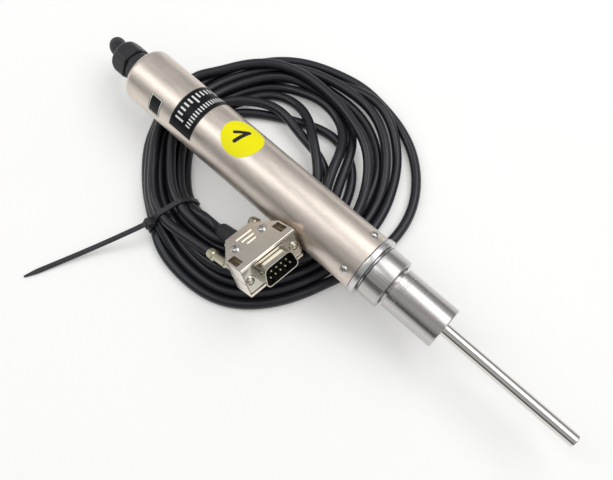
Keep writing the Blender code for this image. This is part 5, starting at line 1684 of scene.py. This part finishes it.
class PROBE_OT_hood(bpy.types.Operator):
    """Casts the plug's two hood halves with their bars, windows and screws"""

    bl_idname = "probe.hood"
    bl_label = "Plug hood"

    def execute(self, context):
        half, split = mm(7.9, 0.15)
        for name, side in (("hood_top", 1), ("hood_bottom", -1)):
            low, high = (split, half) if side > 0 else (-half, -split)
            body = prism_mesh(name, hood_outline(), low, high)
            mesh = cut(body, self.cutters(side), edge=0.75 * MM, edge_steps=1)
            mesh = joined(name, [mesh, *self.bars(side)])
            place_piece(name + "_cast", on_plug(mesh), "plug_nickel", replaces=(name,), sharp=38.0)
        self.screws()
        return {"FINISHED"}

    def cutters(self, side):
        """The chamber, the channels, the windows of the top half and the screws' holes."""
        made = [block_mesh("chamber", (-9.0, -9.3, -6.6), (1.0, 9.3, 6.6))]
        made.append(block_mesh("pocket", (-1.6, -15.0, -6.5), (1.0, 15.0, 6.5)))
        made.append(rod_mesh("channel", MM, -24 * MM, 4.1 * MM, 48))
        for y in (-JACKSCREW_Y, JACKSCREW_Y):
            channel = rod_mesh("channel", MM, -24 * MM, 1.7 * MM, 32)
            made.append(moved(channel, (0, y * MM, 0)))
            if side > 0:
                made.append(block_mesh("window", (-10.3, y - 1.85, 0.6), (-3.6, y + 1.85, 9.0)))
        for y in (-HOOD_SCREW_Y, HOOD_SCREW_Y):
            hole = rod_mesh("hole", 9 * MM, -6.6 * MM, 1.3 * MM, 24)
            made.append(moved(hole, (HOOD_SCREW_X * MM, y * MM, 0), UPRIGHT))
        return made

    def bars(self, side):
        """The three raised grip bars on the top half."""
        if side < 0:
            return []
        made = []
        for row, length in enumerate((5.4, 7.2, 9.0)):
            x = -11.8 - 2.95 * row
            outline = rounded_plate((x - 0.42, -length / 2), (x + 0.42, length / 2), 0.3, 3)
            made.append(cut(prism_mesh("bar", outline, 7.7 * MM, 8.35 * MM), [], edge=0.22 * MM))
        return made

    def screws(self):
        screw = cross_head_screw("screw", 2.1 * MM, 1.1 * MM, 1.0 * MM, 12.6 * MM)
        screw.transform(Matrix.Rotation(math.radians(25), 4, "X"))
        screw.transform(UPRIGHT)
        places = in_mm([(HOOD_SCREW_X, y, 7.95) for y in (-HOOD_SCREW_Y, HOOD_SCREW_Y)])
        mesh = at_places("hood_screws", screw, places, "screw_steel")
        place_piece("hood_screws", on_plug(mesh), "screw_steel", replaces=("hood_screw_1", "hood_screw_2"))


def d_outline(width, height, corner):
    """The connector's D shape, broad side down, its flanks leaning in by ten degrees."""
    lean = height * math.tan(math.radians(10))
    corners = [
        (-width / 2, -height / 2),
        (width / 2, -height / 2),
        (width / 2 - lean, height / 2),
        (lean - width / 2, height / 2),
    ]
    return in_mm(eased(corners, corner, 6, True))


class PROBE_OT_contacts(bpy.types.Operator):
    """Forms the mating shell, its insulator and the nine contact pins"""

    bl_idname = "probe.contacts"
    bl_label = "Plug contacts"

    def execute(self, context):
        self.shell()
        self.insulator(context.scene.probe_sizes)
        self.pins(context.scene.probe_sizes)
        return {"FINISHED"}

    def places(self, pitch):
        lower = [((k - 2) * pitch, -1.42 * MM) for k in range(5)]
        upper = [((k - 1.5) * pitch, 1.42 * MM) for k in range(4)]
        return lower + upper

    def shell(self):
        outline = rounded_plate((-14.6, -6.2), (14.6, 6.2), 0.5, 2)
        plate = prism_mesh("plate", outline, -1.3 * MM, -0.3 * MM, "x")
        skirt = prism_mesh("skirt", d_outline(18.4, 9.9, 3.0), -1.2 * MM, 5.5 * MM, "x")
        bore = prism_mesh("bore", d_outline(17.5, 9.0, 2.6), -3.0 * MM, 7.0 * MM, "x")
        rim = prism_mesh("rim", rounded_plate((-8.6, 5.25), (7.4, 6.2), 0.3, 2), -1.2 * MM, 0.8 * MM, "x")
        collars = [self.threaded_collar(y * MM) for y in (-12.2, 12.2)]
        fused = cut(plate, [skirt, rim, *collars], "UNION", 0.12 * MM)
        holes = []
        for y in (-JACKSCREW_Y, JACKSCREW_Y):
            holes.append(moved(rod_mesh("hole", -3 * MM, MM, 1.7 * MM, 32), (0, y * MM, 0)))
        mesh = cut(fused, [bore, *holes])
        place_piece("mating_shell", on_plug(mesh), "shell_nickel", "probe", ("plug_shell",))

    def threaded_collar(self, y):
        """The pressed ring round a jackscrew's hole."""
        profile = in_mm([(-1.0, 0.0), (-1.0, 2.4), (0.05, 2.4), (0.35, 2.1), (0.35, 0.0)])
        return moved(turned_mesh("ring", profile, 40), (0, y, 0))

    def insulator(self, sizes):
        body = prism_mesh("insulator", d_outline(16.9, 8.4, 2.3), -5.9 * MM, 0.1 * MM, "x")
        holes = []
        for y, z in self.places(sizes.pin_pitch):
            holes.append(moved(rod_mesh("hole", -8 * MM, MM, 0.8 * MM, 20), (0, y, z)))
        mesh = cut(body, holes, edge=0.15 * MM)
        nodes = ("plug_insulator",)
        place_piece("insulator", on_plug(mesh), "insulator_black", "probe", nodes)

    def pins(self, sizes):
        shank = [(-6.7, 0.0), (-6.7, 0.5), (4.0, 0.5)]
        tip = [(4.35, 0.45), (4.6, 0.33), (4.7, 0.17), (4.7, 0.0)]
        pin = turned_mesh("pin", in_mm(shank + tip), 20)
        places = [(0.0, y, z) for y, z in self.places(sizes.pin_pitch)]
        mesh = at_places("contact_pins", pin, places, "gold_plate")
        nodes = [f"contact_pin_{k}" for k in range(1, 10)]
        place_piece("contact_pins", on_plug(mesh), "gold_plate", replaces=nodes)


class PROBE_OT_jackscrews(bpy.types.Operator):
    """Turns the two jackscrews with their threads and fluted knobs"""

    bl_idname = "probe.jackscrews"
    bl_label = "Jackscrews"

    def execute(self, context):
        sizes = context.scene.probe_sizes
        for name, side in (("jackscrew_left", -1), ("jackscrew_right", 1)):
            shaft = turned_mesh("shaft", self.profile(sizes.thread_pitch), 48)
            flute = block_mesh("flute", (-30.8, -0.12, 2.45), (-27.9, 0.12, 2.60))
            flutes = round_the_axis("flutes", flute, sizes.knurl_count, 0.0, "yellow_zinc")
            mesh = moved(joined(name, [shaft, flutes]), (0, side * JACKSCREW_Y * MM, 0))
            body = name + "_body"
            place_piece(name + "_turned", on_plug(mesh), "yellow_zinc", body, (name,))
        return {"FINISHED"}

    def profile(self, pitch):
        """The jackscrew's half outline: rounded tip, thread, plain shank and knob."""
        radius = 1.4 * MM
        points = in_mm([(0.9, 0.0), (0.75, 0.7), (0.45, 1.1)])
        start = 0.2 * MM
        while start > -9.8 * MM:
            points += [(start, radius), (start - pitch * 0.5, radius - 0.28 * MM)]
            start -= pitch
        points += [(-11.0 * MM, radius), (-18.2 * MM, radius)]
        points += in_mm([(-18.6, 2.0), (-27.2, 2.0), (-27.6, 2.5), (-30.9, 2.5)])
        for degrees in (20, 40, 60, 75):
            turn = math.radians(degrees)
            points.append((-30.9 * MM - 1.5 * MM * math.sin(turn), 1.0 * MM + 1.5 * MM * math.cos(turn)))
        return points + in_mm([(-32.4, 0.6), (-32.4, 0.0)])


class PROBE_OT_strain_relief(bpy.types.Operator):
    """Fits the clamp and the sleeve behind the plug"""

    bl_idname = "probe.strain_relief"
    bl_label = "Clamp and sleeve"

    def execute(self, context):
        outline = rounded_plate((-6.4, -5.5), (6.4, 5.5), 1.0, 3)
        clamp = prism_mesh("clamp", outline, -24.1 * MM, -22.6 * MM, "x")
        mesh = cut(clamp, [rod_mesh("bore", -26 * MM, -20 * MM, 4.1 * MM, 48)], edge=0.25 * MM)
        screw = cross_head_screw("clamp_screw", 1.4 * MM, 1.3 * MM, 0.7 * MM, 3.2 * MM, 32)
        sideways = Matrix.Rotation(math.radians(-90), 4, "Z")
        moved(screw, (-23.35 * MM, -6.6 * MM, 3.9 * MM), sideways)
        mesh = joined("clamp_plate", [mesh, screw])
        place_piece("clamp_plate", on_plug(mesh), "screw_steel", replaces=("cable_clamp",))
        profile = in_mm([(-10.0, 0.0), (-10.0, 3.8), (-39.0, 3.8), (-40.0, 3.1), (-40.0, 0.0)])
        sleeve = turned_mesh("sleeve", eased(profile, mm(0, 0.4, 0.8, 0.3, 0), 4), 64)
        place_piece("sleeve", on_plug(sleeve), "black_rubber", replaces=("plug_sleeve",))
        return {"FINISHED"}


# Inner works


class PROBE_OT_return_spring(bpy.types.Operator):
    """Winds the return spring at the length of the CAD frame's spring; the real one shortens as the spindle
    slides in.
    """

    bl_idname = "probe.return_spring"
    bl_label = "Return spring"

    def execute(self, context):
        low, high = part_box("return_spring")
        wire = 0.4 * MM
        length = high.x - low.x
        grower = Grower("return_spring")
        turns = grower.input("Turns", "NodeSocketFloat", float(context.scene.probe_sizes.spring_turns))
        radius = grower.input("Coil radius", "NodeSocketFloat", high.z - wire)
        height = grower.input("Length", "NodeSocketFloat", length - 2 * wire)
        thickness = grower.input("Wire radius", "NodeSocketFloat", wire)
        values = {"Resolution": 28, "Rotations": turns, "Height": height}
        values.update({"Start Radius": radius, "End Radius": radius})
        helix = grower.node("GeometryNodeCurveSpiral", values=values)
        values = {"Resolution": 12, "Radius": thickness}
        section = grower.node("GeometryNodeCurvePrimitiveCircle", {"mode": "RADIUS"}, values)
        values = {"Curve": helix, "Profile Curve": section, "Fill Caps": True}
        grower.finish(grower.node("GeometryNodeCurveToMesh", values=values), finish_named("ground_steel"))
        mesh = grower.grow("return_spring_wound")
        lying = Matrix.Rotation(math.radians(90), 4, "X") @ Matrix.Rotation(math.radians(90), 4, "Y")
        mesh.transform(Matrix.Translation((low.x + wire, 0.0, 0.0)) @ lying)
        piece = place_piece("return_spring_wound", mesh, "ground_steel", replaces=("return_spring",))
        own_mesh(piece)
        return {"FINISHED"}


class PROBE_OT_inner_works(bpy.types.Operator):
    """Gives the gauging mechanism inside the housing its finishes"""

    bl_idname = "probe.inner_works"
    bl_label = "Inner works"

    def execute(self, context):
        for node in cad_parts.values():
            if node.hide_render:
                continue
            for slot in node.material_slots:
                finish = slot.material.name.split(".")[0] if slot.material else ""
                known = finish if finish in FINISHES else "screw_steel"
                slot.material = finish_named(known)
        return {"FINISHED"}


class PROBE_OT_declare_cord(bpy.types.Operator):
    bl_idname = "probe.declare_cord"
    bl_label = "Declare the cord"

    def execute(self, context):
        names = ("boot", "tie", "sleeve", "clamp_plate", "hood_top_cast", "hood_bottom_cast", "hood_screws")
        names += ("mating_shell", "insulator", "contact_pins")
        names += ("jackscrew_left_turned", "jackscrew_right_turned")
        return {"FINISHED"}


OPERATORS = (
    PROBE_OT_stage,
    PROBE_OT_cord,
    PROBE_OT_cable_tie,
    PROBE_OT_housing,
    PROBE_OT_labels,
    PROBE_OT_front_end,
    PROBE_OT_housing_screws,
    PROBE_OT_gland,
    PROBE_OT_hood,
    PROBE_OT_contacts,
    PROBE_OT_jackscrews,
    PROBE_OT_strain_relief,
    PROBE_OT_return_spring,
    PROBE_OT_inner_works,
    PROBE_OT_declare_cord,
)
GROUPS = (ProbeSizes, CordSizes, ProbeColours, StageSettings)


class PROBE_PT_panel(bpy.types.Panel):
    """Lists the probe's pieces and settings in the 3D view's sidebar"""

    bl_idname = "PROBE_PT_panel"
    bl_label = "Measuring probe"
    bl_space_type = "VIEW_3D"
    bl_region_type = "UI"
    bl_category = "Probe"

    def draw(self, context):
        scene = context.scene
        for operator in OPERATORS:
            self.layout.operator(operator.bl_idname)
        for group in (scene.probe_sizes, scene.probe_cord, scene.probe_colours, scene.probe_stage):
            box = self.layout.box()
            for name in group.bl_rna.properties.keys():
                if name not in ("rna_type", "name"):
                    box.prop(group, name)


def register():
    for made in (*GROUPS, *OPERATORS, PROBE_PT_panel):
        bpy.utils.register_class(made)
    bpy.types.Scene.probe_sizes = PointerProperty(type=ProbeSizes)
    bpy.types.Scene.probe_cord = PointerProperty(type=CordSizes)
    bpy.types.Scene.probe_colours = PointerProperty(type=ProbeColours)
    bpy.types.Scene.probe_stage = PointerProperty(type=StageSettings)


def unregister():
    for name in ("probe_sizes", "probe_cord", "probe_colours", "probe_stage"):
        delattr(bpy.types.Scene, name)
    for made in reversed((*GROUPS, *OPERATORS, PROBE_PT_panel)):
        bpy.utils.unregister_class(made)


def main():
    register()
    for operator in OPERATORS:
        group, name = operator.bl_idname.split(".")
        getattr(getattr(bpy.ops, group), name)()


if __name__ == "__main__":
    main()
